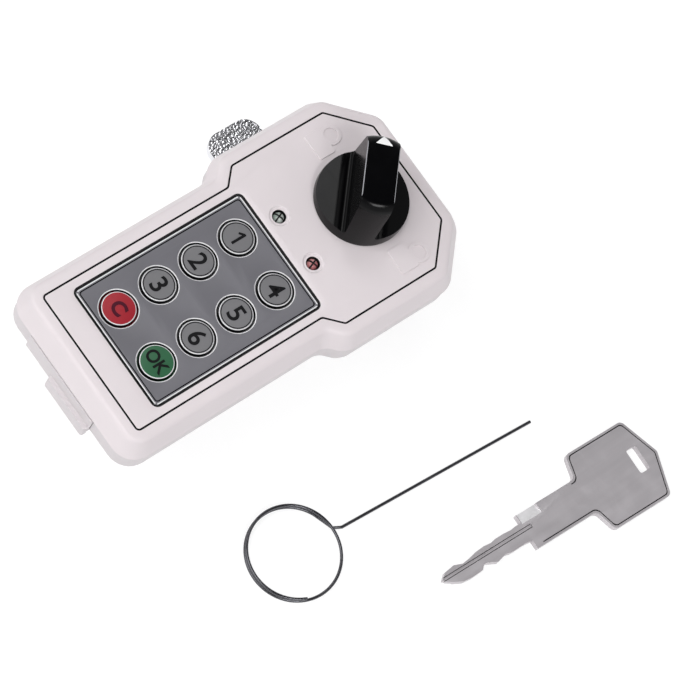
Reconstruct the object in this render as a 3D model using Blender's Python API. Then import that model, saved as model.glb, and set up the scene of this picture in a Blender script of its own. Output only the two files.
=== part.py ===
"""Electronic cabinet lock with a keypad, its override key and its wire release pin.

The lock lies face up. Z runs out of its face, Y runs towards the knob end and X to the right.
The origin is on the spindle axis, in the plane of the door that the lock is fastened to.
"""
import math

import bmesh
import bpy
from mathutils import Vector

MM = 0.001

# Shared fits
GAP = 0.3 * MM            # between pieces that meet
SLIM = 0.1 * MM           # between an inlay or a cell and its pocket
OVER = 1.5 * MM           # how far a cutter runs past what it cuts
LIP = 0.4 * MM            # how far joined shapes run into each other

# Outline of the face, at the thin groove round it
LOW_HALF = 19.9 * MM      # half width of the keypad end
HEAD_HALF = 24.2 * MM     # half width of the knob end
TOP_HALF = 14.6 * MM      # half width of the short edge past the knob
LOW_LEN = 84.1 * MM       # spindle axis to the keypad end
NECK_NEAR = 23.0 * MM     # spindle axis to where the neck widens
NECK_FAR = 27.3 * MM      # spindle axis to where the neck starts
SHOULDER = 6.1 * MM       # spindle axis to the start of the slanted corners
TOP_LEN = 15.5 * MM       # spindle axis to the short edge
LINE_ROUND = 1.0 * MM     # corner radius of the groove
NECK_SOFT_SHARE = 0.6     # share of the offset that rounds a hollow corner
CORNER_STEPS = 4

# Heights
FACE_Z = 15.6 * MM        # door to face
PLATE_T = 2.8 * MM        # mounting plate
SHELL_DEPTH = 6.5 * MM    # flared side of the front casing
FACE_T = 2.8 * MM         # wall of the face
SIDE_T = 1.8 * MM         # side walls
FLOOR_T = 1.6 * MM        # floor of the rear casing
REAR_Z = PLATE_T + GAP
FLOOR_Z = REAR_Z + FLOOR_T
SPLIT_Z = FACE_Z - SHELL_DEPTH
CEIL_Z = FACE_Z - FACE_T

# Front casing
FLARE_OUT = 5.4 * MM      # outline at the split, outside the groove
CREASE_OUT = 3.0 * MM     # outline at the rounded edge of the face
CREASE_R = 0.9 * MM
HEAD_LEAN = 0.9 * MM      # widest outline of the knob end, further along than its face
GROOVE_HALF = 0.25 * MM
GROOVE_DEEP = 0.4 * MM
KNOB_HOLE_SEGS = 32

# Rear casing and mounting plate
REAR_INSET = 0.3 * MM
REAR_EDGE = 0.5 * MM
PLATE_INSET = 2.2 * MM
PLATE_EDGE = 0.4 * MM
SEAT_SPLIT_Y = 21.0 * MM  # spindle axis to the shallow relief between the two door seats
SEAT_SPLIT_W = 4.0 * MM
SEAT_SPLIT_DEEP = 0.6 * MM

# Casing screws
SCREW_LOW_X = 19.6 * MM
SCREW_LOW_IN = 4.1 * MM   # screw to the groove at the keypad end
SCREW_LOW_Y = LOW_LEN - SCREW_LOW_IN
SCREW_TOP_X = 19.4 * MM
SCREW_TOP_Y = 10.4 * MM
PAD_R = 4.0 * MM
PAD_TOP = 2.0 * MM        # pad above the floor
POST_R = 3.0 * MM
SCREW_HEAD_R = 2.5 * MM
SCREW_HEAD_T = 1.4 * MM
SCREW_R = 1.2 * MM
SCREW_LEN = 6.0 * MM
SCREW_SEGS = 16

# Keypad
PANEL_W = 34.0 * MM
PANEL_FAR = 25.75 * MM    # spindle axis to the panel
PANEL_IN = 7.65 * MM      # panel to the groove at the keypad end
PANEL_L = LOW_LEN - PANEL_FAR - PANEL_IN
PANEL_Y = -(PANEL_FAR + PANEL_L / 2)
PANEL_T = 1.2 * MM
PANEL_SUNK = 0.5 * MM     # below the face
PANEL_ROUND = 1.0 * MM
RECESS_OUT = 1.7 * MM     # sloped margin round the panel
LEDGE = 1.2 * MM          # shelf that carries the panel
KEY_ROWS = 4
KEY_FAR_IN = 2.95 * MM    # end of the panel to the nearest key, knob end
KEY_NEAR_IN = 2.41 * MM   # and keypad end
KEY_BETWEEN = 3.38 * MM   # between two keys of a column
KEY_R = (PANEL_L - KEY_FAR_IN - KEY_NEAR_IN - (KEY_ROWS - 1) * KEY_BETWEEN) / (2 * KEY_ROWS)
KEY_SLOT = 0.35 * MM      # ring of air round a key
KEY_RISE = 0.45 * MM      # key above the panel
KEY_EDGE = 0.3 * MM
KEY_CROWN = 0.1 * MM
KEY_TRAVEL = 0.5 * MM
KEY_FLANGE_OUT = 0.8 * MM
KEY_FLANGE_R = KEY_R + KEY_FLANGE_OUT
KEY_FLANGE_T = 0.7 * MM
KEY_STEM_R = 1.5 * MM
KEY_PITCH_X = 15.93 * MM
KEY_PITCH_Y = 2 * KEY_R + KEY_BETWEEN
KEY_TOP_ROW = -(PANEL_FAR + KEY_FAR_IN + KEY_R)
KEY_SEGS = 20

# Board, mat and lights
BOARD_HALF = 15.0 * MM
BOARD_IN = 2.1 * MM       # board to the groove at the keypad end
BOARD_LOW = -(LOW_LEN - BOARD_IN)
BOARD_HIGH = -14.6 * MM
BOARD_T = 1.2 * MM
BOARD_Z = 8.4 * MM        # underside
BOARD_POST_R = 1.6 * MM
BOARD_POST_IN = 2.0 * MM  # post axis from the edges of the board
MAT_HALF = 13.6 * MM
MAT_MARGIN = 6.0 * MM     # past the outer key rows
MAT_T = 0.9 * MM
COLLAR_IN = 1.8 * MM
COLLAR_OUT = 2.7 * MM
MAT_SEGS = 12
LED_X = 7.2 * MM
LED_IN = 5.25 * MM        # light to the panel
LED_Y = -(PANEL_FAR - LED_IN)
LED_R = 1.5 * MM
LED_HOLE_R = 1.8 * MM
LED_RING_R = 2.7 * MM
LED_RING_DEEP = 0.35 * MM
LED_FLANGE_R = 1.9 * MM
LED_FLANGE_T = 1.0 * MM
LED_SUNK = 0.1 * MM
LED_SEGS = 16

# Battery tray
CELL_R = 12.25 * MM
CELL_T = 3.0 * MM
CELL_STEP = 0.4 * MM      # rim round the smaller pole
CELL_SEGS = 28
CELL_APART = 0.6 * MM
TRAY_X = -1.75 * MM       # middle of the tray
TRAY_WALL = 0.6 * MM
TRAY_FLOOR = 1.0 * MM
TRAY_RIM = 3.1 * MM       # side walls above the tray's floor
TRAY_FRONT_T = 1.7 * MM
TRAY_FRONT_LOW = 2.6 * MM
TRAY_PROUD = 0.4 * MM     # front of the tray past the rear casing
TRAY_BACK_T = 1.0 * MM
LINK_T = 0.3 * MM
LINK_HALF = 2.5 * MM
TAB_LEFT = -4.6 * MM
TAB_RIGHT = 11.0 * MM
TAB_T = 1.2 * MM
TAB_TOP = 4.6 * MM
TAB_ROUND = 0.8 * MM
PIN_HOLE_X = 12.8 * MM
PIN_HOLE_R = 0.8 * MM
PIN_HOLE_DEPTH = 52.0 * MM
CONTACT_T = 0.3 * MM
CONTACT_HALF = 2.5 * MM
CONTACT_LEN = 12.0 * MM

# Threaded boss, nut, spindle and cam
BOSS_R = 9.0 * MM
BOSS_ROOT_R = 8.5 * MM
BOSS_PITCH = 1.5 * MM
BOSS_FLAT = 8.0 * MM      # axis to each flat
BOSS_BORE = 4.3 * MM
BOSS_LEN = 19.2 * MM      # past the door face
BOSS_PLAIN = 3.0 * MM     # unthreaded length at the door face
BOSS_FLANGE_R = 11.0 * MM
BOSS_FLANGE_T = 1.8 * MM
BOSS_SEGS = 24
DOOR_MAX = 15.0 * MM      # thickest door
NUT_T = 4.0 * MM
NUT_FLATS = 24.0 * MM
NUT_EDGE = 0.8 * MM
SHAFT_R = 4.0 * MM
SHAFT_COLLAR_R = 5.0 * MM
SHAFT_COLLAR_T = 1.4 * MM
SQUARE = 5.6 * MM
SQUARE_FIT = 0.3 * MM
STOP_T = 0.8 * MM
STOP_R = 8.4 * MM
CAM_T = 2.4 * MM
CAM_LEN = 42.0 * MM       # spindle axis to the tip
CAM_HALF = 8.0 * MM
CAM_HUB_R = 9.0 * MM
CAM_TIP_R = 4.5 * MM
CAM_SCREW_R = 1.5 * MM
CAM_SCREW_IN = 9.0 * MM
CAM_HEAD_R = 4.6 * MM
CAM_HEAD_T = 2.6 * MM
CAM_HEAD_EDGE = 0.5 * MM

# Sleeve, cylinder and seal
PLUG_R = 5.2 * MM
PLUG_RISE = 2.7 * MM      # above the face
KEYWAY_W = 2.5 * MM
KEYWAY_L = 7.4 * MM
KEYWAY_DEEP = 8.6 * MM
WAFER_T = 0.7 * MM
WAFER_HALF_X = 2.9 * MM
WAFER_HALF_Y = 4.0 * MM
WAFER_WINDOW_Y = 2.9 * MM
WAFER_PITCH = 2.0 * MM
WAFER_TOP = 2.0 * MM      # first wafer below the face of the plug
WAFER_COUNT = 4
SLEEVE_R = 7.2 * MM
SLEEVE_RISE = 1.3 * MM    # above the face
DOG_RISE = 4.0 * MM       # driving dogs above the rest of the sleeve
DOG_HALF = 2.4 * MM
SLEEVE_FLANGE_R = 10.2 * MM
SLEEVE_FLANGE_T = 2.4 * MM
NOTCH_W = 4.4 * MM
NOTCH_DEEP = 2.5 * MM
SEAL_R = 0.8 * MM
SEAL_SEGS = 24
SEAL_SIDES = 6

# Solenoid
COIL_X = 14.2 * MM
COIL_L = 11.0 * MM
COIL_HALF = 4.8 * MM
COIL_H = 5.8 * MM
COIL_WALL = 1.6 * MM
PLUNGER_R = 1.2 * MM
PLUNGER_AIR = 0.4 * MM    # rest gap to the sleeve's flange
PLUNGER_TRAVEL = 2.2 * MM
SPRING_LEN = 3.6 * MM
SPRING_R = 0.85 * MM
SPRING_WIRE = 0.18 * MM
SPRING_TURNS = 3
SPRING_STEPS = 9          # points to one turn

# Knob
KNOB_R = 12.2 * MM
KNOB_TOP_R = 10.3 * MM
KNOB_H = 18.0 * MM
KNOB_RIM = 1.1 * MM
KNOB_ROUND = 1.8 * MM     # rounded ends of the grip
KNOB_ROUND_STEPS = 4
BAR_HALF = 4.2 * MM
BAR_WAIST = 3.75 * MM     # half of the grip at its foot
FLANK_FLOOR = 2.9 * MM    # hollow flanks, at the grip
FLANK_EDGE = 2.2 * MM     # and at the rim
FLANK_ROUND = 4.0 * MM
FLANK_STEPS = 6
KNOB_SEGS = 48
KNOB_ANGLE = math.radians(136.5)
POINTER_TIP = 10.1 * MM
POINTER_BASE = 7.35 * MM
POINTER_HALF = 2.15 * MM
POINTER_DEEP = 1.3 * MM   # below the top of the grip

# Override key and release pin, lying beside the lock
ACC_FLOOR = -(BOSS_LEN + GAP + STOP_T + GAP + CAM_T + GAP + CAM_HEAD_T)
KEY_TIP_X = 87.3 * MM
KEY_TIP_Y = -23.8 * MM
KEY_TURN = math.radians(-1.9)
KEY_T = 2.0 * MM
BLADE_LEN = 27.2 * MM
NECK_LEN = 19.8 * MM
BOW_SLANT = 1.8 * MM      # slanted shoulder between neck and bow
BOW_SIDE = 19.2 * MM
BOW_BULGE = 4.0 * MM      # rounded far end of the bow
BOW_HALF = 11.6 * MM
BOW_STEPS = 3
BOW_ROUND = 1.6 * MM
NECK_HALF = 5.1 * MM
BLADE_LEFT = 3.1 * MM
BLADE_RIGHT = 3.3 * MM
BLADE_TIP_FLAT = 1.2 * MM
SLOT_W = 3.2 * MM
SLOT_WALL = 4.7 * MM      # between the slot and the far end
SLOT_LEFT = 4.3 * MM
SLOT_RIGHT = 2.8 * MM
MILL_HALF = 0.8 * MM
MILL_DEEP = 0.5 * MM
CUT_SHARES = (             # along the blade, then depth of cut left and right
    (0.92, 0.0, 0.0), (0.86, 0.35, 0.1), (0.80, 0.35, 0.55), (0.73, 0.0, 0.55),
    (0.66, 0.55, 0.1), (0.59, 0.55, 0.45), (0.52, 0.1, 0.45), (0.45, 0.4, 0.0),
    (0.38, 0.4, 0.6), (0.31, 0.0, 0.6), (0.24, 0.3, 0.1), (0.17, 0.1, 0.0))
CUT_DEEP = 2.0 * MM
WIRE_R = 0.55 * MM
RING_R = 12.4 * MM
RING_X = 60.1 * MM
RING_Y = -52.6 * MM
RING_PITCH = 1.6 * MM
RING_TURNS = 1.7
RING_STEPS = 24           # points to one turn
LEAD_STEPS = 2            # points left out where the shank bends into the ring
SHANK_STEPS = 8
PIN_LEN = 61.0 * MM
PIN_BEND = 3.0 * MM
PIN_TURN = math.radians(-3.6)


# Helpers
def clear_scene():
    for old in list(bpy.data.objects):
        bpy.data.objects.remove(old, do_unlink=True)


def material(name, colour, rough, metal=0.0):
    mat = bpy.data.materials.new(name)
    mat.use_nodes = True
    shader = mat.node_tree.nodes["Principled BSDF"]
    shader.inputs["Base Color"].default_value = (*colour, 1.0)
    shader.inputs["Roughness"].default_value = rough
    shader.inputs["Metallic"].default_value = metal
    mat.diffuse_color = (*colour, 1.0)
    return mat


def add_object(name, bm, mat, place=(0, 0, 0), turn=0.0, parent=None, smooth=True):
    bmesh.ops.recalc_face_normals(bm, faces=bm.faces)
    mesh = bpy.data.meshes.new(name)
    bm.to_mesh(mesh)
    bm.free()
    return add_mesh(name, mesh, mat, place, turn, parent, smooth)


def add_mesh(name, mesh, mat, place=(0, 0, 0), turn=0.0, parent=None, smooth=True):
    if mat is not None and not mesh.materials:
        mesh.materials.append(mat)
    if smooth:
        mesh.shade_smooth()
        mesh.set_sharp_from_angle(angle=math.radians(35))
    obj = bpy.data.objects.new(name, mesh)
    obj.location = place
    obj.rotation_euler = (0, 0, turn)
    if parent is not None:
        obj.parent = parent
    bpy.context.scene.collection.objects.link(obj)
    return obj


def add_empty(name, place=(0, 0, 0), turn=0.0, parent=None):
    empty = bpy.data.objects.new(name, None)
    empty.location = place
    empty.rotation_euler = (0, 0, turn)
    if parent is not None:
        empty.parent = parent
    bpy.context.scene.collection.objects.link(empty)
    return empty


def boolean(obj, tool, operation):
    mod = obj.modifiers.new(tool.name, "BOOLEAN")
    mod.object = tool
    mod.operation = operation
    mod.solver = "EXACT"
    tool.hide_render = True
    tool.display_type = "WIRE"


def cut(obj, tool):
    boolean(obj, tool, "DIFFERENCE")


def join(obj, tool):
    boolean(obj, tool, "UNION")


def loft(bm, rings):
    loops = [[bm.verts.new(p) for p in ring] for ring in rings]
    count = len(rings[0])
    for low, high in zip(loops, loops[1:]):
        for i in range(count):
            j = (i + 1) % count
            bm.faces.new((low[i], low[j], high[j], high[i]))
    bm.faces.new(list(reversed(loops[0])))
    bm.faces.new(loops[-1])
    return bm


def lifted(points, z):
    return [(x, y, z) for x, y in points]


def prism(bm, points, z0, z1):
    return loft(bm, [lifted(points, z0), lifted(points, z1)])


def box(bm, x0, x1, y0, y1, z0, z1):
    return prism(bm, [(x0, y0), (x1, y0), (x1, y1), (x0, y1)], z0, z1)


def circle(radius, segs, cx=0.0, cy=0.0, phase=0.0):
    steps = [phase + math.tau * i / segs for i in range(segs)]
    return [(cx + radius * math.cos(a), cy + radius * math.sin(a)) for a in steps]


def turned(bm, profile, segs, centre=(0, 0)):
    """Turn a closed profile of (radius, height) round the vertical line at centre."""
    cx, cy = centre
    rings = []
    for radius, z in profile:
        if radius == 0:
            rings.append([bm.verts.new((cx, cy, z))])
        else:
            rings.append([bm.verts.new((x, y, z)) for x, y in circle(radius, segs, cx, cy)])
    pairs = list(zip(rings, rings[1:]))
    if profile[0][0] != 0:
        pairs.append((rings[-1], rings[0]))
    for low, high in pairs:
        for i in range(segs):
            j = (i + 1) % segs
            if len(low) == 1 and len(high) == 1:
                continue
            if len(low) == 1:
                bm.faces.new((low[0], high[j], high[i]))
            elif len(high) == 1:
                bm.faces.new((low[i], low[j], high[0]))
            else:
                bm.faces.new((low[i], low[j], high[j], high[i]))
    return bm


def unit(a, b):
    dx, dy = b[0] - a[0], b[1] - a[1]
    size = math.hypot(dx, dy)
    return dx / size, dy / size


def offset(points, out):
    """Move every edge of a counter-clockwise outline outward."""
    count = len(points)
    moved = []
    for i in range(count):
        before = unit(points[i - 1], points[i])
        after = unit(points[i], points[(i + 1) % count])
        n0 = (before[1], -before[0])
        n1 = (after[1], -after[0])
        scale = out / (1 + n0[0] * n1[0] + n0[1] * n1[1])
        moved.append((points[i][0] + (n0[0] + n1[0]) * scale,
                      points[i][1] + (n0[1] + n1[1]) * scale))
    return moved


def fillet(points, radii, steps):
    """Round each corner of an outline with its own radius."""
    count = len(points)
    out = []
    for i in range(count):
        prev, here, nxt = points[i - 1], points[i], points[(i + 1) % count]
        u, v = unit(here, prev), unit(here, nxt)
        dot = max(-1.0, min(1.0, u[0] * v[0] + u[1] * v[1]))
        half = math.acos(dot) / 2
        reach = radii[i] / math.tan(half)
        bis = (u[0] + v[0], u[1] + v[1])
        size = math.hypot(*bis)
        far = radii[i] / math.sin(half)
        cx, cy = here[0] + bis[0] / size * far, here[1] + bis[1] / size * far
        start = (here[0] + u[0] * reach, here[1] + u[1] * reach)
        end = (here[0] + v[0] * reach, here[1] + v[1] * reach)
        a0 = math.atan2(start[1] - cy, start[0] - cx)
        a1 = math.atan2(end[1] - cy, end[0] - cx)
        sweep = (a1 - a0 + math.pi) % math.tau - math.pi
        for k in range(steps + 1):
            a = a0 + sweep * k / steps
            out.append((cx + radii[i] * math.cos(a), cy + radii[i] * math.sin(a)))
    return out


def eased(points, corner, radius, steps):
    """Round one corner of an open outline."""
    three = points[corner - 1:corner + 2]
    arc = fillet(three, (0, radius, 0), steps)[steps + 1:2 * (steps + 1)]
    return points[:corner] + arc + points[corner + 1:]


BODY_CORNERS = (
    (LOW_HALF, -LOW_LEN), (LOW_HALF, -NECK_FAR), (HEAD_HALF, -NECK_NEAR),
    (HEAD_HALF, SHOULDER), (TOP_HALF, TOP_LEN), (-TOP_HALF, TOP_LEN),
    (-HEAD_HALF, SHOULDER), (-HEAD_HALF, -NECK_NEAR), (-LOW_HALF, -NECK_FAR),
    (-LOW_HALF, -LOW_LEN))
HOLLOW_CORNERS = (1, 8)


def body_outline(out):
    """The face's outline, a given distance outside its groove."""
    radii = []
    for i in range(len(BODY_CORNERS)):
        if i in HOLLOW_CORNERS:
            radii.append(LINE_ROUND + max(out, 0) * NECK_SOFT_SHARE)
        else:
            radii.append(LINE_ROUND + out)
    lean = HEAD_LEAN * max(0, out - CREASE_OUT) / (FLARE_OUT - CREASE_OUT)
    corners = [(x, y + lean if y > -NECK_FAR - FLARE_OUT else y)
               for x, y in offset(BODY_CORNERS, out)]
    return fillet(corners, radii, CORNER_STEPS)


def frame_outline(half_x, half_y, cy, radius, steps=CORNER_STEPS):
    corners = [(half_x, cy - half_y), (half_x, cy + half_y),
               (-half_x, cy + half_y), (-half_x, cy - half_y)]
    return fillet(corners, [radius] * len(corners), steps)


def flare_at(depth):
    """How far the front casing stands outside the groove, at a depth below the face."""
    return CREASE_OUT + (FLARE_OUT - CREASE_OUT) * depth / SHELL_DEPTH


def key_places():
    """Keypad places from the knob end, left column and then right column."""
    left, right = [], []
    for row in range(KEY_ROWS):
        y = KEY_TOP_ROW - row * KEY_PITCH_Y
        left.append((-KEY_PITCH_X / 2, y))
        right.append((KEY_PITCH_X / 2, y))
    return left, right


SCREW_PLACES = ((SCREW_LOW_X, -SCREW_LOW_Y), (-SCREW_LOW_X, -SCREW_LOW_Y),
                (SCREW_TOP_X, SCREW_TOP_Y), (-SCREW_TOP_X, SCREW_TOP_Y))


# Casing
def make_front_shell(mat):
    crease = [(CREASE_OUT + (FLARE_OUT - CREASE_OUT) * CREASE_R / SHELL_DEPTH, CREASE_R),
              (CREASE_OUT - CREASE_R * (1 - math.cos(math.radians(45))) / 2,
               CREASE_R * (1 - math.sin(math.radians(45)))),
              (CREASE_OUT - CREASE_R, 0)]
    inner_low = FLARE_OUT - SIDE_T
    inner_top = flare_at(FACE_T) - SIDE_T
    rings = [lifted(body_outline(-GROOVE_HALF), FACE_Z),
             lifted(body_outline(-GROOVE_HALF), FACE_Z - GROOVE_DEEP),
             lifted(body_outline(GROOVE_HALF), FACE_Z - GROOVE_DEEP),
             lifted(body_outline(GROOVE_HALF), FACE_Z)]
    for out, deep in reversed(crease):
        rings.append(lifted(body_outline(out), FACE_Z - deep))
    rings.append(lifted(body_outline(FLARE_OUT), SPLIT_Z))
    rings.append(lifted(body_outline(inner_low), SPLIT_Z))
    rings.append(lifted(body_outline(inner_top), CEIL_Z))
    shell = add_object("front_shell", loft(bmesh.new(), rings), mat)

    posts = bmesh.new()
    for x, y in SCREW_PLACES:
        prism(posts, circle(POST_R, SCREW_SEGS, x, y), FLOOR_Z + PAD_TOP + GAP, CEIL_Z + LIP)
    for x in (-1, 1):
        for y in (BOARD_LOW + BOARD_POST_IN, BOARD_HIGH - BOARD_POST_IN):
            prism(posts, circle(BOARD_POST_R, SCREW_SEGS, x * (BOARD_HALF - BOARD_POST_IN), y),
                  BOARD_Z + BOARD_T + GAP, CEIL_Z + LIP)
    join(shell, add_object("shell_posts", posts, None, smooth=False))

    pocket = bmesh.new()
    base = PANEL_ROUND + GAP
    half_x, half_y = PANEL_W / 2 + GAP, PANEL_L / 2 + GAP
    shelf_z = FACE_Z - PANEL_SUNK - PANEL_T - GAP
    slope = RECESS_OUT / PANEL_SUNK
    loft(pocket, [
        lifted(frame_outline(half_x - LEDGE, half_y - LEDGE, PANEL_Y, base), CEIL_Z - OVER),
        lifted(frame_outline(half_x - LEDGE, half_y - LEDGE, PANEL_Y, base), shelf_z),
        lifted(frame_outline(half_x, half_y, PANEL_Y, base), shelf_z),
        lifted(frame_outline(half_x, half_y, PANEL_Y, base), FACE_Z - PANEL_SUNK),
        lifted(frame_outline(half_x + RECESS_OUT, half_y + RECESS_OUT, PANEL_Y,
                             base + RECESS_OUT), FACE_Z),
        lifted(frame_outline(half_x + RECESS_OUT + slope * GAP, half_y + RECESS_OUT + slope * GAP,
                             PANEL_Y, base + RECESS_OUT + slope * GAP), FACE_Z + GAP)])
    cut(shell, add_object("keypad_pocket", pocket, None, smooth=False))

    holes = bmesh.new()
    prism(holes, circle(SLEEVE_R + GAP, KNOB_HOLE_SEGS), CEIL_Z - OVER, FACE_Z + OVER)
    for side in (-1, 1):
        prism(holes, circle(LED_HOLE_R, LED_SEGS, side * LED_X, LED_Y),
              CEIL_Z - OVER, FACE_Z + OVER)
    for x, y in SCREW_PLACES:
        prism(holes, circle(SCREW_R + GAP, SCREW_SEGS, x, y),
              FLOOR_Z + PAD_TOP - OVER, CEIL_Z)
    cut(shell, add_object("shell_holes", holes, None, smooth=False))

    rings_cut = bmesh.new()
    for side in (-1, 1):
        prism(rings_cut, circle(LED_RING_R, LED_SEGS, side * LED_X, LED_Y),
              FACE_Z - LED_RING_DEEP, FACE_Z + OVER)
    cut(shell, add_object("light_rings", rings_cut, None, smooth=False))
    return shell


def tray_half():
    return CELL_R + SLIM + TRAY_WALL


def tray_span():
    """Outer face of the tray's front, its inner face, and the far end of the tray."""
    wall_out = -(LOW_LEN + FLARE_OUT - REAR_INSET)
    front_out = wall_out - TRAY_PROUD
    front_in = front_out + TRAY_FRONT_T
    far = front_in + 2 * SLIM + 4 * CELL_R + CELL_APART + TRAY_BACK_T
    return front_out, front_in, far


def make_rear_base(mat):
    out = FLARE_OUT - REAR_INSET
    top = SPLIT_Z - GAP
    rings = [lifted(body_outline(out - REAR_EDGE), REAR_Z),
             lifted(body_outline(out), REAR_Z + REAR_EDGE),
             lifted(body_outline(out), top),
             lifted(body_outline(out - SIDE_T), top),
             lifted(body_outline(out - SIDE_T), FLOOR_Z)]
    base = add_object("rear_base", loft(bmesh.new(), rings), mat)

    pads = bmesh.new()
    for x, y in SCREW_PLACES:
        prism(pads, circle(PAD_R, SCREW_SEGS, x, y), FLOOR_Z - LIP, FLOOR_Z + PAD_TOP)
    join(base, add_object("screw_pads", pads, None, smooth=False))

    front_out, front_in, far = tray_span()
    half = tray_half() + GAP
    tunnel = bmesh.new()
    box(tunnel, TRAY_X - half, TRAY_X + half, front_out - OVER, far + GAP,
        REAR_Z - OVER, SPLIT_Z + OVER)
    cut(base, add_object("tray_opening", tunnel, None, smooth=False))

    holes = bmesh.new()
    prism(holes, boss_section(GAP), REAR_Z - OVER, FLOOR_Z + OVER)
    for x, y in SCREW_PLACES:
        turned(holes, [(0, REAR_Z - OVER), (SCREW_HEAD_R + GAP, REAR_Z - OVER),
                       (SCREW_HEAD_R + GAP, REAR_Z + SCREW_HEAD_T + GAP),
                       (SCREW_R + GAP, REAR_Z + SCREW_HEAD_T + GAP),
                       (SCREW_R + GAP, FLOOR_Z + PAD_TOP + OVER),
                       (0, FLOOR_Z + PAD_TOP + OVER)], SCREW_SEGS, (x, y))
    cut(base, add_object("base_holes", holes, None, smooth=False))
    return base


def boss_section(grow):
    """Round section of the boss with its two flats, as an outline."""
    radius = BOSS_R + grow
    flat = BOSS_FLAT + grow
    edge = math.acos(flat / radius)
    points = []
    for side in (0, math.pi):
        start = side + edge
        sweep = math.pi - 2 * edge
        steps = BOSS_SEGS // 2
        for k in range(steps + 1):
            a = start + sweep * k / steps
            points.append((radius * math.cos(a), radius * math.sin(a)))
    return points


def make_mounting_plate(mat):
    out = FLARE_OUT - REAR_INSET - PLATE_INSET
    rings = [lifted(body_outline(out - PLATE_EDGE), 0),
             lifted(body_outline(out), PLATE_EDGE),
             lifted(body_outline(out), PLATE_T)]
    plate = add_object("mounting_plate", loft(bmesh.new(), rings), mat)
    holes = bmesh.new()
    prism(holes, boss_section(GAP), -OVER, PLATE_T + OVER)
    start = -(LOW_LEN + FLARE_OUT)
    box(holes, PIN_HOLE_X - PIN_HOLE_R, PIN_HOLE_X + PIN_HOLE_R,
        start - OVER, start + PIN_HOLE_DEPTH, PLATE_T - 2 * PIN_HOLE_R, PLATE_T + OVER)
    cut(plate, add_object("plate_holes", holes, None, smooth=False))
    relief = bmesh.new()
    wide = HEAD_HALF + FLARE_OUT + OVER
    box(relief, -wide, wide, -SEAT_SPLIT_Y - SEAT_SPLIT_W / 2, -SEAT_SPLIT_Y + SEAT_SPLIT_W / 2,
        -OVER, SEAT_SPLIT_DEEP)
    cut(plate, add_object("seat_relief", relief, None, smooth=False))
    return plate


def make_case_screws(mat):
    seat = REAR_Z + SCREW_HEAD_T
    mesh = None
    for number, (x, y) in enumerate(SCREW_PLACES, 1):
        name = "case_screw_%d" % number
        if mesh is None:
            bm = turned(bmesh.new(), [
                (0, REAR_Z + GAP - seat), (SCREW_HEAD_R, REAR_Z + GAP - seat),
                (SCREW_HEAD_R, 0), (SCREW_R, 0), (SCREW_R, SCREW_LEN), (0, SCREW_LEN)],
                SCREW_SEGS)
            mesh = add_object(name, bm, mat, (x, y, seat)).data
        else:
            add_mesh(name, mesh, mat, (x, y, seat))


# Keypad
def make_panel(mat):
    top = FACE_Z - PANEL_SUNK
    edge = SLIM
    rings = [lifted(frame_outline(PANEL_W / 2, PANEL_L / 2, PANEL_Y, PANEL_ROUND), top - PANEL_T),
             lifted(frame_outline(PANEL_W / 2, PANEL_L / 2, PANEL_Y, PANEL_ROUND), top - edge),
             lifted(frame_outline(PANEL_W / 2 - edge, PANEL_L / 2 - edge, PANEL_Y,
                                  PANEL_ROUND - edge), top)]
    panel = add_object("keypad_panel", loft(bmesh.new(), rings), mat)
    holes = bmesh.new()
    for x, y in sum(key_places(), []):
        prism(holes, circle(KEY_R + KEY_SLOT, KEY_SEGS, x, y), top - PANEL_T - OVER, top + OVER)
    cut(panel, add_object("key_holes", holes, None, smooth=False))


def make_keys(grey, red, green):
    panel_top = FACE_Z - PANEL_SUNK
    panel_low = panel_top - PANEL_T
    flange_top = panel_low - GAP
    flange_low = flange_top - KEY_FLANGE_T
    stem_low = BOARD_Z + BOARD_T + GAP + KEY_TRAVEL
    top = panel_top + KEY_RISE
    bm = turned(bmesh.new(), [
        (0, stem_low - flange_top), (KEY_STEM_R, stem_low - flange_top),
        (KEY_STEM_R, flange_low - flange_top), (KEY_FLANGE_R, flange_low - flange_top),
        (KEY_FLANGE_R, 0), (KEY_R, 0), (KEY_R, top - KEY_EDGE - flange_top),
        (KEY_R - KEY_EDGE, top - flange_top), (0, top + KEY_CROWN - flange_top)], KEY_SEGS)
    left, right = key_places()
    mesh = None
    for number, (x, y) in enumerate(left[:3] + right[:3], 1):
        name = "key_%d" % number
        if mesh is None:
            mesh = add_object(name, bm, grey, (x, y, flange_top)).data
        else:
            add_mesh(name, mesh, grey, (x, y, flange_top))
    for name, mat, (x, y) in (("key_clear", red, left[3]), ("key_ok", green, right[3])):
        own = mesh.copy()
        own.materials.clear()
        add_mesh(name, own, mat, (x, y, flange_top))


def make_board(mat):
    bm = bmesh.new()
    box(bm, -BOARD_HALF, BOARD_HALF, BOARD_LOW, BOARD_HIGH, BOARD_Z, BOARD_Z + BOARD_T)
    add_object("circuit_board", bm, mat, smooth=False)


def make_mat(mat):
    low = BOARD_Z + BOARD_T + GAP
    collar_top = (FACE_Z - PANEL_SUNK - PANEL_T - GAP - KEY_FLANGE_T) - KEY_TRAVEL - GAP
    bottom = KEY_TOP_ROW - (KEY_ROWS - 1) * KEY_PITCH_Y - MAT_MARGIN
    bm = bmesh.new()
    box(bm, -MAT_HALF, MAT_HALF, bottom, KEY_TOP_ROW + MAT_MARGIN, low, low + MAT_T)
    sheet = add_object("key_mat", bm, mat)
    collars, holes = bmesh.new(), bmesh.new()
    for x, y in sum(key_places(), []):
        prism(collars, circle(COLLAR_OUT, MAT_SEGS, x, y), low + MAT_T - LIP, collar_top)
        prism(holes, circle(COLLAR_IN, MAT_SEGS, x, y), low - OVER, collar_top + OVER)
    join(sheet, add_object("mat_collars", collars, None, smooth=False))
    cut(sheet, add_object("mat_holes", holes, None, smooth=False))


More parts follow.
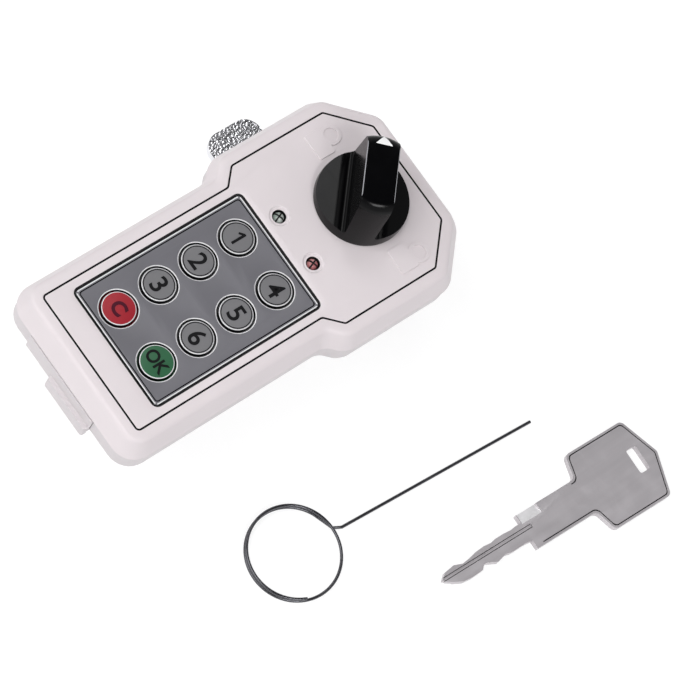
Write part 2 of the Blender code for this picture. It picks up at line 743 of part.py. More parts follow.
def make_leds(green, red):
    low = BOARD_Z + BOARD_T + GAP
    top = FACE_Z - LED_SUNK
    dome = [(LED_R * math.cos(a), top - LED_R + LED_R * math.sin(a))
            for a in (0, math.radians(30), math.radians(60))]
    for name, mat, side in (("led_green", green, -1), ("led_red", red, 1)):
        bm = turned(bmesh.new(), [
            (0, low), (LED_FLANGE_R, low), (LED_FLANGE_R, low + LED_FLANGE_T),
            (LED_R, low + LED_FLANGE_T)] + dome + [(0, top)], LED_SEGS)
        add_object(name, bm, mat, (side * LED_X, LED_Y, 0))


# Battery tray
def make_tray(plastic, metal, gold):
    front_out, front_in, far = tray_span()
    half = tray_half()
    floor_top = REAR_Z + TRAY_FLOOR
    wall_top = floor_top + TRAY_RIM
    bm = bmesh.new()
    box(bm, TRAY_X - half, TRAY_X + half, front_in - LIP, far, REAR_Z, wall_top)
    tray = add_object("battery_tray", bm, plastic, smooth=False)

    pocket = bmesh.new()
    box(pocket, TRAY_X - half + TRAY_WALL, TRAY_X + half - TRAY_WALL,
        front_in, far - TRAY_BACK_T, floor_top, wall_top + OVER)
    cut(tray, add_object("tray_pocket", pocket, None, smooth=False))

    face = bmesh.new()
    box(face, TRAY_X - half, TRAY_X + half, front_out, front_in,
        TRAY_FRONT_LOW, SPLIT_Z - 2 * GAP)
    join(tray, add_object("tray_front", face, None, smooth=False))

    corners = [(TAB_LEFT, front_out - TAB_T), (TAB_RIGHT, front_out - TAB_T),
               (TAB_RIGHT, front_out + LIP), (TAB_LEFT, front_out + LIP)]
    tab = bmesh.new()
    prism(tab, fillet(corners, [TAB_ROUND, TAB_ROUND, SLIM, SLIM], CORNER_STEPS), GAP, TAB_TOP)
    join(tray, add_object("tray_tab", tab, None, smooth=False))

    link = bmesh.new()
    link_z = floor_top + SLIM
    first = front_in + SLIM + CELL_R
    second = first + 2 * CELL_R + CELL_APART
    box(link, TRAY_X - LINK_HALF, TRAY_X + LINK_HALF, first, second, link_z, link_z + LINK_T)
    add_object("contact_link", link, gold, smooth=False)

    low = link_z + LINK_T + SLIM
    for name, y in (("battery_cell_1", first), ("battery_cell_2", second)):
        bm = turned(bmesh.new(), [
            (0, 0), (CELL_R - 2 * CELL_STEP, 0), (CELL_R - 2 * CELL_STEP, CELL_STEP / 2),
            (CELL_R, CELL_STEP), (CELL_R, CELL_T - CELL_STEP / 2),
            (CELL_R - CELL_STEP / 2, CELL_T), (0, CELL_T)], CELL_SEGS)
        add_object(name, bm, metal, (TRAY_X, y, low))

    high = low + CELL_T
    under = BOARD_Z - GAP
    for name, y in (("contact_plus", first), ("contact_minus", second)):
        bm = bmesh.new()
        side = [(y - CONTACT_LEN / 2, under - CONTACT_T), (y - CONTACT_LEN / 4, under - CONTACT_T),
                (y, high + SLIM), (y + CONTACT_LEN / 4, under - CONTACT_T),
                (y + CONTACT_LEN / 2, under - CONTACT_T)]
        loop = side + [(a, b + CONTACT_T) for a, b in reversed(side)]
        loft(bm, [[(TRAY_X + s * CONTACT_HALF, a, b) for a, b in loop] for s in (-1, 1)])
        add_object(name, bm, gold, smooth=False)


# Boss, nut, spindle and cam
def make_boss(mat):
    top = FLOOR_Z + GAP + BOSS_FLANGE_T
    profile = [(BOSS_BORE, top), (BOSS_FLANGE_R, top), (BOSS_FLANGE_R, FLOOR_Z + GAP),
               (BOSS_R, FLOOR_Z + GAP), (BOSS_R, -BOSS_PLAIN)]
    turns = int((BOSS_LEN - BOSS_PLAIN) / BOSS_PITCH)
    for k in range(turns):
        z = -BOSS_PLAIN - k * BOSS_PITCH
        profile.append((BOSS_ROOT_R, z - BOSS_PITCH / 2))
        if k < turns - 1:
            profile.append((BOSS_R, z - BOSS_PITCH))
    profile.append((BOSS_ROOT_R, -BOSS_LEN))
    profile.append((BOSS_BORE, -BOSS_LEN))
    boss = add_object("threaded_boss", turned(bmesh.new(), profile, BOSS_SEGS), mat)
    flats = bmesh.new()
    for side in (-1, 1):
        near, wide = side * BOSS_FLAT, side * (BOSS_R + OVER)
        box(flats, min(near, wide), max(near, wide), -BOSS_R, BOSS_R,
            -BOSS_LEN - OVER, FLOOR_Z + GAP / 2)
    cut(boss, add_object("boss_flats", flats, None, smooth=False))


def make_nut(mat):
    across = NUT_FLATS / math.sqrt(3)
    outer = circle(across, 6)
    slim = circle(across - NUT_EDGE, 6)
    low = -DOOR_MAX - NUT_T
    bm = loft(bmesh.new(), [lifted(slim, low), lifted(outer, low + NUT_EDGE / 2),
                            lifted(outer, -DOOR_MAX)])
    nut = add_object("boss_nut", bm, mat, smooth=False)
    bore = bmesh.new()
    prism(bore, circle(BOSS_R + GAP, BOSS_SEGS), low - OVER, -DOOR_MAX + OVER)
    cut(nut, add_object("nut_bore", bore, None, smooth=False))


def square_outline(side):
    half = side / 2
    return [(half, -half), (half, half), (-half, half), (-half, -half)]


def spindle_levels():
    """Undersides of the boss, stop washer, cam and screw head."""
    stop_top = -BOSS_LEN - GAP
    cam_top = stop_top - STOP_T - GAP
    head_top = cam_top - CAM_T - GAP
    return stop_top, cam_top, head_top


def make_spindle(mat):
    stop_top, cam_top, head_top = spindle_levels()
    collar_low = FLOOR_Z + GAP + BOSS_FLANGE_T + GAP
    bm = turned(bmesh.new(), [
        (0, stop_top), (SHAFT_R, stop_top), (SHAFT_R, collar_low),
        (SHAFT_COLLAR_R, collar_low), (SHAFT_COLLAR_R, collar_low + SHAFT_COLLAR_T),
        (0, collar_low + SHAFT_COLLAR_T)], BOSS_SEGS)
    spindle = add_object("spindle", bm, mat)
    tail = bmesh.new()
    prism(tail, square_outline(SQUARE), head_top + GAP, stop_top + LIP)
    join(spindle, add_object("spindle_tail", tail, None, smooth=False))
    bore = bmesh.new()
    prism(bore, circle(CAM_SCREW_R + GAP, SCREW_SEGS), head_top - OVER,
          head_top + CAM_SCREW_IN + GAP)
    cut(spindle, add_object("spindle_bore", bore, None, smooth=False))


def make_stop_washer(mat):
    stop_top, _, _ = spindle_levels()
    bm = bmesh.new()
    prism(bm, circle(STOP_R, BOSS_SEGS), stop_top - STOP_T, stop_top)
    washer = add_object("stop_washer", bm, mat)
    hole = bmesh.new()
    prism(hole, square_outline(SQUARE + 2 * SQUARE_FIT), stop_top - STOP_T - OVER, stop_top + OVER)
    cut(washer, add_object("washer_square", hole, None, smooth=False))


def make_cam(mat):
    _, cam_top, _ = spindle_levels()
    reach = math.sqrt(CAM_HUB_R ** 2 - CAM_HALF ** 2)
    tip = fillet([(-CAM_LEN, CAM_HALF), (-CAM_LEN, -CAM_HALF), (-reach, -CAM_HALF),
                  (-reach, CAM_HALF)], [CAM_TIP_R, CAM_TIP_R, SLIM, SLIM], CORNER_STEPS)
    arm = tip[:2 * (CORNER_STEPS + 1)]
    start = math.atan2(-CAM_HALF, -reach)
    end = math.atan2(CAM_HALF, -reach)
    sweep = end - start
    hub = [(CAM_HUB_R * math.cos(start + sweep * k / BOSS_SEGS),
            CAM_HUB_R * math.sin(start + sweep * k / BOSS_SEGS)) for k in range(BOSS_SEGS + 1)]
    outline = arm + hub
    bm = bmesh.new()
    prism(bm, outline, cam_top - CAM_T, cam_top)
    cam = add_object("cam", bm, mat)
    hole = bmesh.new()
    prism(hole, square_outline(SQUARE + 2 * SQUARE_FIT), cam_top - CAM_T - OVER, cam_top + OVER)
    cut(cam, add_object("cam_square", hole, None, smooth=False))


def make_cam_screw(mat):
    _, _, head_top = spindle_levels()
    low = head_top - CAM_HEAD_T
    bm = turned(bmesh.new(), [
        (0, low), (CAM_HEAD_R - CAM_HEAD_EDGE, low), (CAM_HEAD_R, low + CAM_HEAD_EDGE),
        (CAM_HEAD_R, head_top), (CAM_SCREW_R, head_top),
        (CAM_SCREW_R, head_top + CAM_SCREW_IN), (0, head_top + CAM_SCREW_IN)], BOSS_SEGS)
    add_object("cam_screw", bm, mat)


# Sleeve, cylinder, seal and solenoid
def collar_top():
    return FLOOR_Z + GAP + BOSS_FLANGE_T + GAP + SHAFT_COLLAR_T


def flange_span():
    """Underside and top of the sleeve's flange."""
    low = FLOOR_Z + GAP + BOSS_FLANGE_T + GAP
    return low, low + SLEEVE_FLANGE_T


def make_sleeve(mat):
    low, flange_top = flange_span()
    ring_top = FACE_Z + SLEEVE_RISE
    top = ring_top + DOG_RISE
    bore = PLUG_R + GAP
    bm = turned(bmesh.new(), [
        (bore, low), (SLEEVE_FLANGE_R, low), (SLEEVE_FLANGE_R, flange_top),
        (SLEEVE_R, flange_top), (SLEEVE_R, top), (bore, top)], KNOB_HOLE_SEGS)
    sleeve = add_object("drive_sleeve", bm, mat)
    cuts = bmesh.new()
    depth = SLEEVE_FLANGE_R - NOTCH_DEEP
    box(cuts, depth, SLEEVE_FLANGE_R + OVER, -NOTCH_W / 2, NOTCH_W / 2,
        low - OVER, flange_top + OVER)
    box(cuts, -NOTCH_W / 2, NOTCH_W / 2, depth, SLEEVE_FLANGE_R + OVER,
        low - OVER, flange_top + OVER)
    cut(sleeve, add_object("flange_notches", cuts, None, smooth=False))
    sides = bmesh.new()
    wide = SLEEVE_R + OVER
    for near, far in ((-wide, -DOG_HALF), (DOG_HALF, wide)):
        box(sides, -wide, wide, near, far, ring_top, top + OVER)
    tool = add_object("beside_dogs", sides, None, smooth=False)
    tool.rotation_euler = (0, 0, KNOB_ANGLE)
    cut(sleeve, tool)


def wafer_levels():
    top = FACE_Z + PLUG_RISE - WAFER_TOP
    return [top - k * WAFER_PITCH for k in range(WAFER_COUNT)]


def make_plug(brass, steel):
    low = collar_top() + GAP
    top = FACE_Z + PLUG_RISE
    bm = bmesh.new()
    prism(bm, circle(PLUG_R, BOSS_SEGS), low, top)
    plug = add_object("key_plug", bm, brass)
    keyway = bmesh.new()
    box(keyway, -KEYWAY_W / 2, KEYWAY_W / 2, -KEYWAY_L / 2, KEYWAY_L / 2,
        top - KEYWAY_DEEP, top + OVER)
    cut(plug, add_object("keyway", keyway, None, smooth=False))
    slots = bmesh.new()
    for z in wafer_levels():
        box(slots, -WAFER_HALF_X - GAP, WAFER_HALF_X + GAP, -PLUG_R - OVER, PLUG_R + OVER,
            z - WAFER_T / 2 - GAP, z + WAFER_T / 2 + GAP)
    cut(plug, add_object("wafer_slots", slots, None, smooth=False))
    for number, z in enumerate(wafer_levels(), 1):
        bm = bmesh.new()
        box(bm, -WAFER_HALF_X, WAFER_HALF_X, -WAFER_HALF_Y, WAFER_HALF_Y,
            z - WAFER_T / 2, z + WAFER_T / 2)
        wafer = add_object("wafer_%d" % number, bm, steel, smooth=False)
        window = bmesh.new()
        box(window, -KEYWAY_W / 2, KEYWAY_W / 2, -WAFER_WINDOW_Y, WAFER_WINDOW_Y,
            z - OVER, z + OVER)
        cut(wafer, add_object("window_%d" % number, window, None, smooth=False))


def make_seal(mat):
    middle = SLEEVE_R + GAP + SEAL_R
    z = CEIL_Z - GAP - SEAL_R
    profile = [(middle + SEAL_R * math.cos(a), z + SEAL_R * math.sin(a))
               for a in [math.tau * k / SEAL_SIDES for k in range(SEAL_SIDES)]]
    add_object("sleeve_seal", turned(bmesh.new(), profile, SEAL_SEGS), mat)


def make_solenoid(shell_mat, steel):
    low = FLOOR_Z + GAP
    _, flange_top = flange_span()
    axis_z = flange_top - SLEEVE_FLANGE_T / 2
    bm = bmesh.new()
    box(bm, COIL_X, COIL_X + COIL_L, -COIL_HALF, COIL_HALF, low, low + COIL_H)
    body = add_object("solenoid", bm, shell_mat, smooth=False)

    def along_x(points, x0, x1):
        return [[(x, a, axis_z + b) for a, b in points] for x in (x0, x1)]

    bore = bmesh.new()
    loft(bore, along_x(circle(PLUNGER_R + GAP, SCREW_SEGS), COIL_X - OVER,
                       COIL_X + COIL_L - COIL_WALL))
    cut(body, add_object("solenoid_bore", bore, None, smooth=False))

    front = SLEEVE_FLANGE_R + PLUNGER_AIR
    back = COIL_X + COIL_L - COIL_WALL - GAP - SPRING_LEN - GAP
    pin = loft(bmesh.new(), [[(x - front, a, b) for a, b in circle(PLUNGER_R, SCREW_SEGS)]
                             for x in (front, back)])
    add_object("solenoid_plunger", pin, steel, (front, 0, axis_z))

    curve = bpy.data.curves.new("plunger_spring", "CURVE")
    curve.dimensions = "3D"
    curve.bevel_depth = SPRING_WIRE
    curve.bevel_resolution = 1
    curve.use_fill_caps = True
    spline = curve.splines.new("POLY")
    steps = SPRING_TURNS * SPRING_STEPS
    rise = (SPRING_LEN - 2 * SPRING_WIRE) / steps
    start = back + GAP + SPRING_WIRE
    spline.points.add(steps)
    for k, point in enumerate(spline.points):
        a = math.tau * k / SPRING_STEPS
        point.co = (start + rise * k, SPRING_R * math.cos(a),
                    axis_z + SPRING_R * math.sin(a), 1)
    curve.materials.append(steel)
    spring = bpy.data.objects.new("plunger_spring", curve)
    bpy.context.scene.collection.objects.link(spring)


# Knob
def knob_blank(name, mat, parent):
    """The round knob, its grip's ends rounded, before its flanks are hollowed."""
    outline = [(KNOB_R - SLIM, 0), (KNOB_R, SLIM), (KNOB_R, KNOB_RIM), (KNOB_TOP_R, KNOB_H),
               (0, KNOB_H)]
    outline = eased(outline, 3, KNOB_ROUND, KNOB_ROUND_STEPS)
    bm = turned(bmesh.new(), [(0, 0)] + outline, KNOB_SEGS)
    return add_object(name, bm, mat, (0, 0, 0), 0.0, parent)


def pointer_outline(grow):
    spread = grow * POINTER_HALF / (POINTER_TIP - POINTER_BASE)
    return [(POINTER_BASE - grow, -POINTER_HALF - 2 * spread), (POINTER_TIP + 2 * grow, 0),
            (POINTER_BASE - grow, POINTER_HALF + 2 * spread)]


def make_knob(black, white, parent):
    knob = knob_blank("knob", black, parent)
    flanks = bmesh.new()
    wide = KNOB_R + OVER
    high = KNOB_H + OVER
    outline = eased([(BAR_HALF, high), (BAR_HALF, KNOB_H), (BAR_WAIST, FLANK_FLOOR),
                     (wide, FLANK_EDGE), (wide, high)], 2, FLANK_ROUND, FLANK_STEPS)
    for side in (-1, 1):
        loft(flanks, [[(x, side * a, b) for a, b in outline] for x in (-wide, wide)])
    bmesh.ops.recalc_face_normals(flanks, faces=flanks.faces)
    cut(knob, add_object("knob_flanks", flanks, None, parent=parent, smooth=False))

    ring, plug = SLEEVE_R + GAP, PLUG_R + GAP
    socket = turned(bmesh.new(), [(0, -OVER), (ring, -OVER), (ring, SLEEVE_RISE),
                                  (plug, SLEEVE_RISE), (plug, PLUG_RISE), (0, PLUG_RISE)],
                    KNOB_HOLE_SEGS)
    cut(knob, add_object("knob_socket", socket, None, parent=parent, smooth=False))
    slots = bmesh.new()
    half = DOG_HALF + GAP
    near = math.sqrt(PLUG_R ** 2 - half ** 2)
    for start, end in ((-ring, -near), (near, ring)):
        box(slots, start, end, -half, half, -OVER, SLEEVE_RISE + DOG_RISE)
    cut(knob, add_object("dog_slots", slots, None, parent=parent, smooth=False))

    pocket = bmesh.new()
    floor = KNOB_H - POINTER_DEEP
    prism(pocket, pointer_outline(SLIM), floor - SLIM, KNOB_H + OVER)
    cut(knob, add_object("pointer_pocket", pocket, None, parent=parent, smooth=False))
    inlay = bmesh.new()
    prism(inlay, pointer_outline(0), floor, KNOB_H + OVER)
    pointer = add_object("knob_pointer", inlay, white, parent=parent, smooth=False)
    boolean(pointer, knob_blank("pointer_limit", None, parent), "INTERSECT")


# Override key and release pin
def make_override_key(mat):
    neck = BLADE_LEN + NECK_LEN
    near = neck + BOW_SLANT
    far = near + BOW_SIDE
    end = far + BOW_BULGE
    bow = [(neck, -NECK_HALF), (near, -BOW_HALF), (far, -BOW_HALF), (end, 0),
           (far, BOW_HALF), (near, BOW_HALF), (neck, NECK_HALF)]
    bow = fillet(bow, [BOW_ROUND, BOW_ROUND, BOW_ROUND, BOW_BULGE, BOW_ROUND,
                       BOW_ROUND, BOW_ROUND], BOW_STEPS)
    left = [(BLADE_LEN, NECK_HALF), (BLADE_LEN, BLADE_LEFT)]
    right = [(BLADE_LEN, -NECK_HALF), (BLADE_LEN - LIP, -BLADE_RIGHT)]
    for share, cut_left, cut_right in CUT_SHARES:
        s = BLADE_LEN * share
        left.append((s, BLADE_LEFT - CUT_DEEP * cut_left))
        right.append((s, -BLADE_RIGHT + CUT_DEEP * cut_right))
    middle = (BLADE_LEFT - BLADE_RIGHT) / 2
    tip = [(0, middle + BLADE_TIP_FLAT / 2), (0, middle - BLADE_TIP_FLAT / 2)]
    outline = bow + left + tip + list(reversed(right))
    points = [(-w, s) for s, w in outline]
    bm = bmesh.new()
    prism(bm, points, 0, KEY_T)
    key = add_object("override_key", bm, mat, (KEY_TIP_X, KEY_TIP_Y, ACC_FLOOR), KEY_TURN,
                     smooth=False)
    holes = bmesh.new()
    slot_far = end - SLOT_WALL
    box(holes, -SLOT_LEFT, SLOT_RIGHT, slot_far - SLOT_W, slot_far, -OVER, KEY_T + OVER)
    run = BLADE_LEN + OVER
    for z0, z1 in ((KEY_T - MILL_DEEP, KEY_T + OVER), (-OVER, MILL_DEEP)):
        box(holes, -middle - MILL_HALF, -middle + MILL_HALF, -OVER, run, z0, z1)
    tool = add_object("key_slots", holes, None, (KEY_TIP_X, KEY_TIP_Y, ACC_FLOOR), KEY_TURN,
                      smooth=False)
    cut(key, tool)


def make_release_pin(mat):
    """Straight wire that turns into a ring and winds on for part of a second turn."""
    curve = bpy.data.curves.new("release_pin", "CURVE")
    curve.dimensions = "3D"
    curve.bevel_depth = WIRE_R
    curve.bevel_resolution = 1
    curve.use_fill_caps = True
    points = []
    for k in range(SHANK_STEPS + 1):
        share = 1 - k / SHANK_STEPS
        points.append((0, RING_R + PIN_BEND + PIN_LEN * share, WIRE_R))
    start = math.radians(90)
    points.append((-PIN_BEND / 3, RING_R + PIN_BEND / 4, WIRE_R))
    for k in range(LEAD_STEPS, int(RING_STEPS * RING_TURNS) + 1):
        a = start + math.tau * k / RING_STEPS
        climb = RING_PITCH * k / RING_STEPS
        points.append((RING_R * math.cos(a), RING_R * math.sin(a), WIRE_R + climb))
    spline = curve.splines.new("POLY")
    spline.points.add(len(points) - 1)
    for target, (x, y, z) in zip(spline.points, points):
        target.co = (x, y, z, 1)
    curve.materials.append(mat)
    pin = bpy.data.objects.new("release_pin", curve)
    pin.location = (RING_X, RING_Y, ACC_FLOOR)
    pin.rotation_euler = (0, 0, PIN_TURN)
    bpy.context.scene.collection.objects.link(pin)
    nearest = min((Vector(p) - Vector(q)).length
                  for i, p in enumerate(points) for q in points[i + RING_STEPS // 2:])
    print("release pin: least gap to itself %.2f mm" % ((nearest - 2 * WIRE_R) / MM))


# Build
def main():
    clear_scene()
    casing = material("casing_plastic", (0.74, 0.69, 0.70), 0.45)
    casing_rear = material("casing_plastic_rear", (0.68, 0.64, 0.65), 0.5)
    plate_mat = material("plate_plastic", (0.64, 0.61, 0.62), 0.55)
    grey = material("keypad_grey", (0.18, 0.18, 0.20), 0.5)
    key_grey = material("key_grey", (0.22, 0.22, 0.24), 0.5)
    red = material("key_red", (0.62, 0.03, 0.04), 0.5)
    green = material("key_green", (0.03, 0.25, 0.08), 0.5)
    led_green = material("led_green_lens", (0.10, 0.16, 0.10), 0.2)
    led_red = material("led_red_lens", (0.40, 0.05, 0.05), 0.2)
    black = material("knob_black", (0.012, 0.012, 0.014), 0.22)
    white = material("pointer_white", (0.85, 0.85, 0.85), 0.5)
    zinc = material("bright_zinc", (0.72, 0.72, 0.74), 0.25, 1.0)
    steel = material("plain_steel", (0.55, 0.55, 0.57), 0.35, 1.0)
    brass = material("plug_brass", (0.62, 0.50, 0.30), 0.35, 1.0)
    nickel = material("nickel_silver", (0.50, 0.47, 0.49), 0.35, 1.0)
    board = material("board_green", (0.02, 0.15, 0.06), 0.5)
    rubber = material("mat_rubber", (0.10, 0.10, 0.11), 0.8)
    seal = material("seal_rubber", (0.03, 0.03, 0.03), 0.8)
    gold = material("contact_plating", (0.75, 0.68, 0.50), 0.3, 1.0)
    cell = material("cell_steel", (0.66, 0.66, 0.66), 0.3, 1.0)

    make_front_shell(casing)
    make_rear_base(casing_rear)
    make_mounting_plate(plate_mat)
    make_case_screws(steel)
    make_panel(grey)
    make_keys(key_grey, red, green)
    make_board(board)
    make_mat(rubber)
    make_leds(led_green, led_red)
    make_tray(casing_rear, cell, gold)
    make_boss(zinc)
    make_nut(zinc)
    make_spindle(steel)
    make_stop_washer(zinc)
    make_cam(zinc)
    make_cam_screw(zinc)
    make_sleeve(steel)
    make_plug(brass, steel)
    make_seal(seal)
    make_solenoid(steel, steel)
    knob_axis = add_empty("knob_axis", (0, 0, FACE_Z + GAP), KNOB_ANGLE)
    make_knob(black, white, knob_axis)
    make_override_key(nickel)
    make_release_pin(steel)


main()
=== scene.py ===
import math

import bmesh
import bpy
from mathutils import Matrix, Vector


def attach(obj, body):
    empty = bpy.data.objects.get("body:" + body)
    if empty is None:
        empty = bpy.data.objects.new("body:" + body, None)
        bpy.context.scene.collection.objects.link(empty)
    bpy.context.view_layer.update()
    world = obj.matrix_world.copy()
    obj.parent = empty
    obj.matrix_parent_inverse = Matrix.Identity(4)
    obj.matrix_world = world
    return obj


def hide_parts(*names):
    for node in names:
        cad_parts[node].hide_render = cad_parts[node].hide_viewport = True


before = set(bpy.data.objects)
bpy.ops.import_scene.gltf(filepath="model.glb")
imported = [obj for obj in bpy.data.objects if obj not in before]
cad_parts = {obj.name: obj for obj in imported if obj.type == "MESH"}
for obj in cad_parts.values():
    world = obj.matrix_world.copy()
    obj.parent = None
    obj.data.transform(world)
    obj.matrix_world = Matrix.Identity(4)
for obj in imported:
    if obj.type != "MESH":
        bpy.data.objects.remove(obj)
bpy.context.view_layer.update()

# Lengths of the pieces are in millimetres and angles in degrees; the mesh helpers turn them into
# the scene's units. Finishes, lamps, the camera and the table's size are in metres.
MM = 0.001
ORIGIN = (0, 0, 0)
UP = (0, 0, 1)
MERGE = 1e-6
OVERLAP = 1.0             # how far a cutter reaches past what it cuts

# Heights above the door
FACE = 15.6
PANEL_TOP = 15.1
PANEL_LEDGE = 13.6
CEILING = 12.8
SPLIT = 9.1
BASE_TOP = 8.8
FLOOR_TOP = 4.7
BASE_LOW = 3.1
PLATE_TOP = 2.8
TABLE = -25.9

# Outline of the casing at its widest, from the keypad end round to the knob end
HALF_OUTLINE = ((25.3, -89.5), (25.3, -29.537), (29.6, -25.237), (29.6, 8.37), (16.804, 20.9))
CASING_OUTLINE = [*HALF_OUTLINE, *((-x, y) for x, y in reversed(HALF_OUTLINE))]
FLARE = 5.4               # from the widest outline in to the thin groove
CREASE = 3.0              # from the rounded edge of the face in to the groove
HEAD_LEAN = 0.9           # widest outline of the knob end, further along than its face
HEAD_START = -40.0        # the knob end lies beyond this
GROOVE_CORNER = 1.0
GROOVE_DEEP = 0.45
SCREW_PLACES = ((19.6, -80.0), (-19.6, -80.0), (19.4, 10.4), (-19.4, 10.4))

# Keypad, lights and knob
PANEL_MIDDLE = -51.1
PANEL_HALF_X = 17.0
PANEL_HALF_Y = 25.35
PANEL_GAP = 0.18
KEY_COLUMN = 7.965
KEY_ROWS = (-33.1, -45.28, -57.46, -69.64)
LEGEND_LOW = 15.33
LEGEND_TOP = 15.51
LIGHT_X = 7.2
LIGHT_Y = -20.5
GRIP_TURN = 136.5
KNOB_FOOT = 15.9
KNOB_TALL = 18.0


# Mesh helpers
def metres(*lengths):
    return Vector([length * MM for length in lengths])


def shift(x, y, z):
    return Matrix.Translation(metres(x, y, z))


def rotation(degrees, axis="Z"):
    return Matrix.Rotation(math.radians(degrees), 4, axis)


def clean(bm):
    bmesh.ops.remove_doubles(bm, verts=bm.verts[:], dist=MERGE)
    bmesh.ops.recalc_face_normals(bm, faces=bm.faces[:])
    return bm


def rounded(bm, geom, reach, steps, affect="VERTICES"):
    bmesh.ops.bevel(bm, geom=geom, offset=reach * MM, offset_type="OFFSET", segments=steps,
                    profile=0.5, affect=affect, material=-1)


def sheet(bm, corners, height, outer, inner=0.0, inset=0.0, steps=6):
    """A flat face with rounded corners; outer and inner are the radii of its two kinds of corner."""
    before = set(bm.faces)
    face = bm.faces.new([bm.verts.new(metres(x, y, height)) for x, y in corners])
    face.normal_update()
    if inset:
        made = bmesh.ops.inset_region(bm, faces=[face], thickness=inset * MM, use_boundary=True,
                                      use_even_offset=True)
        bmesh.ops.delete(bm, geom=made["faces"], context="FACES")
    turns = [(loop.vert, (outer if loop.is_convex else inner)
              * math.tan(loop.vert.calc_edge_angle() / 2)) for loop in face.loops]
    for vert, reach in turns:
        if reach > 0:
            rounded(bm, [vert], reach, steps)
    return next(f for f in bm.faces if f not in before)


def stack(levels, corners, steps=6):
    """A solid lofted through outlines; each level is height, inset, outer radius, inner radius.

    A fifth number moves the knob end of the casing along. The outlines are joined far apart and
    moved to their heights afterwards.
    """
    bm = bmesh.new()
    below = None
    rises = []
    for number, (height, inset, outer, inner, *lean) in enumerate(levels):
        apart = 20 * number
        leaning = [(x, y + sum(lean) if y > HEAD_START else y) for x, y in corners]
        face = sheet(bm, leaning, apart, outer, inner, inset, steps)
        edges = face.edges[:]
        rises.append((face.verts[:], height - apart))
        if 0 < number < len(levels) - 1:
            bmesh.ops.delete(bm, geom=[face], context="FACES_ONLY")
        if below:
            bmesh.ops.bridge_loops(bm, edges=below + edges)
        below = edges
    for verts, rise in rises:
        bmesh.ops.translate(bm, verts=verts, vec=metres(0, 0, rise))
    return clean(bm)


def casing_level(height, out):
    """One outline of the casing, a distance outside the thin groove."""
    lean = HEAD_LEAN * max(0, out - CREASE) / (FLARE - CREASE)
    waist_share = 0.6
    return (height, FLARE - out, GROOVE_CORNER + out, GROOVE_CORNER + max(out, 0) * waist_share,
            lean)


def edge_levels(height, out, rise, reach):
    """Outlines of the casing round an edge, from its side on to its flat, a quarter turn in all."""
    angles = [math.radians(22.5 * step) for step in range(5)]
    return [casing_level(height - rise * (1 - math.sin(a)), out - reach * (1 - math.cos(a)))
            for a in angles]


def rectangle(half_x, half_y, middle=(0, 0)):
    x, y = middle
    return [(x - half_x, y - half_y), (x + half_x, y - half_y),
            (x + half_x, y + half_y), (x - half_x, y + half_y)]


def block(low, high, edge=0.0):
    """A box between two corners, its edges rounded if an edge is given."""
    bm = bmesh.new()
    low, high = metres(*low), metres(*high)
    place = Matrix.Translation((high + low) / 2) @ Matrix.Diagonal((*(high - low), 1))
    bmesh.ops.create_cube(bm, size=1.0, matrix=place)
    if edge:
        rounded(bm, bm.edges[:], edge, 2, "EDGES")
    return bm


def turned(profile, rounds=(), steps=64, centre=(0, 0), corner_steps=4, closed=False):
    """A profile of radius and height spun round a vertical line; rounds gives corner radii by number.

    A closed profile makes a piece with a hole through it.
    """
    bm = bmesh.new()
    verts = [bm.verts.new(metres(r, 0, z)) for r, z in profile]
    for a, b in zip(verts, verts[1:] + (verts[:1] if closed else [])):
        bm.edges.new((a, b))
    for number, radius in rounds:
        vert = verts[number]
        rounded(bm, [vert], radius * math.tan(vert.calc_edge_angle() / 2), corner_steps)
    middle = metres(*centre, 0)
    bmesh.ops.translate(bm, verts=bm.verts[:], vec=middle)
    bmesh.ops.spin(bm, geom=bm.verts[:] + bm.edges[:], cent=middle, axis=UP,
                   angle=math.tau, steps=steps, use_merge=True)
    return clean(bm)


def pillar(radius, low, high, centre=(0, 0), steps=48):
    bm = bmesh.new()
    bmesh.ops.create_cone(bm, cap_ends=True, segments=steps, radius1=radius * MM,
                          radius2=radius * MM, depth=(high - low) * MM,
                          matrix=shift(*centre, (low + high) / 2))
    return bm


def extruded(bm, faces, reach):
    made = bmesh.ops.extrude_face_region(bm, geom=faces, use_keep_orig=True)
    ends = [v for v in made["geom"] if isinstance(v, bmesh.types.BMVert)]
    bmesh.ops.translate(bm, verts=ends, vec=metres(*reach))
    return bm


def raised(corners, low, high, outer=0.0, inner=0.0, steps=4):
    """A flat outline extruded upwards."""
    bm = bmesh.new()
    face = sheet(bm, corners, low, outer, inner, 0.0, steps)
    return clean(extruded(bm, [face], (0, 0, high - low)))


def upright_edges(bm, axis, limit):
    """The vertical edges on the low side of a limit along an axis."""
    return [e for e in bm.edges if (e.verts[0].co - e.verts[1].co).xy.length < MERGE
            and e.verts[0].co[axis] < limit * MM]


def faces_and_middles(bm):
    """Each face with its middle in millimetres."""
    return [(face, face.calc_center_median() / MM) for face in bm.faces]


def mesh_from(name, bm):
    mesh = bpy.data.meshes.new(name)
    bm.to_mesh(mesh)
    bm.free()
    return mesh


def linked(name, data):
    made = bpy.data.objects.new(name, data)
    bpy.context.scene.collection.objects.link(made)
    return made


def together(*meshes):
    """Several loose shells in one mesh."""
    whole = bmesh.new()
    for bm in meshes:
        held = mesh_from("held", bm)
        whole.from_mesh(held)
        bpy.data.meshes.remove(held)
    return whole


def moved(bm, matrix):
    bmesh.ops.transform(bm, matrix=matrix, verts=bm.verts[:])
    return bm


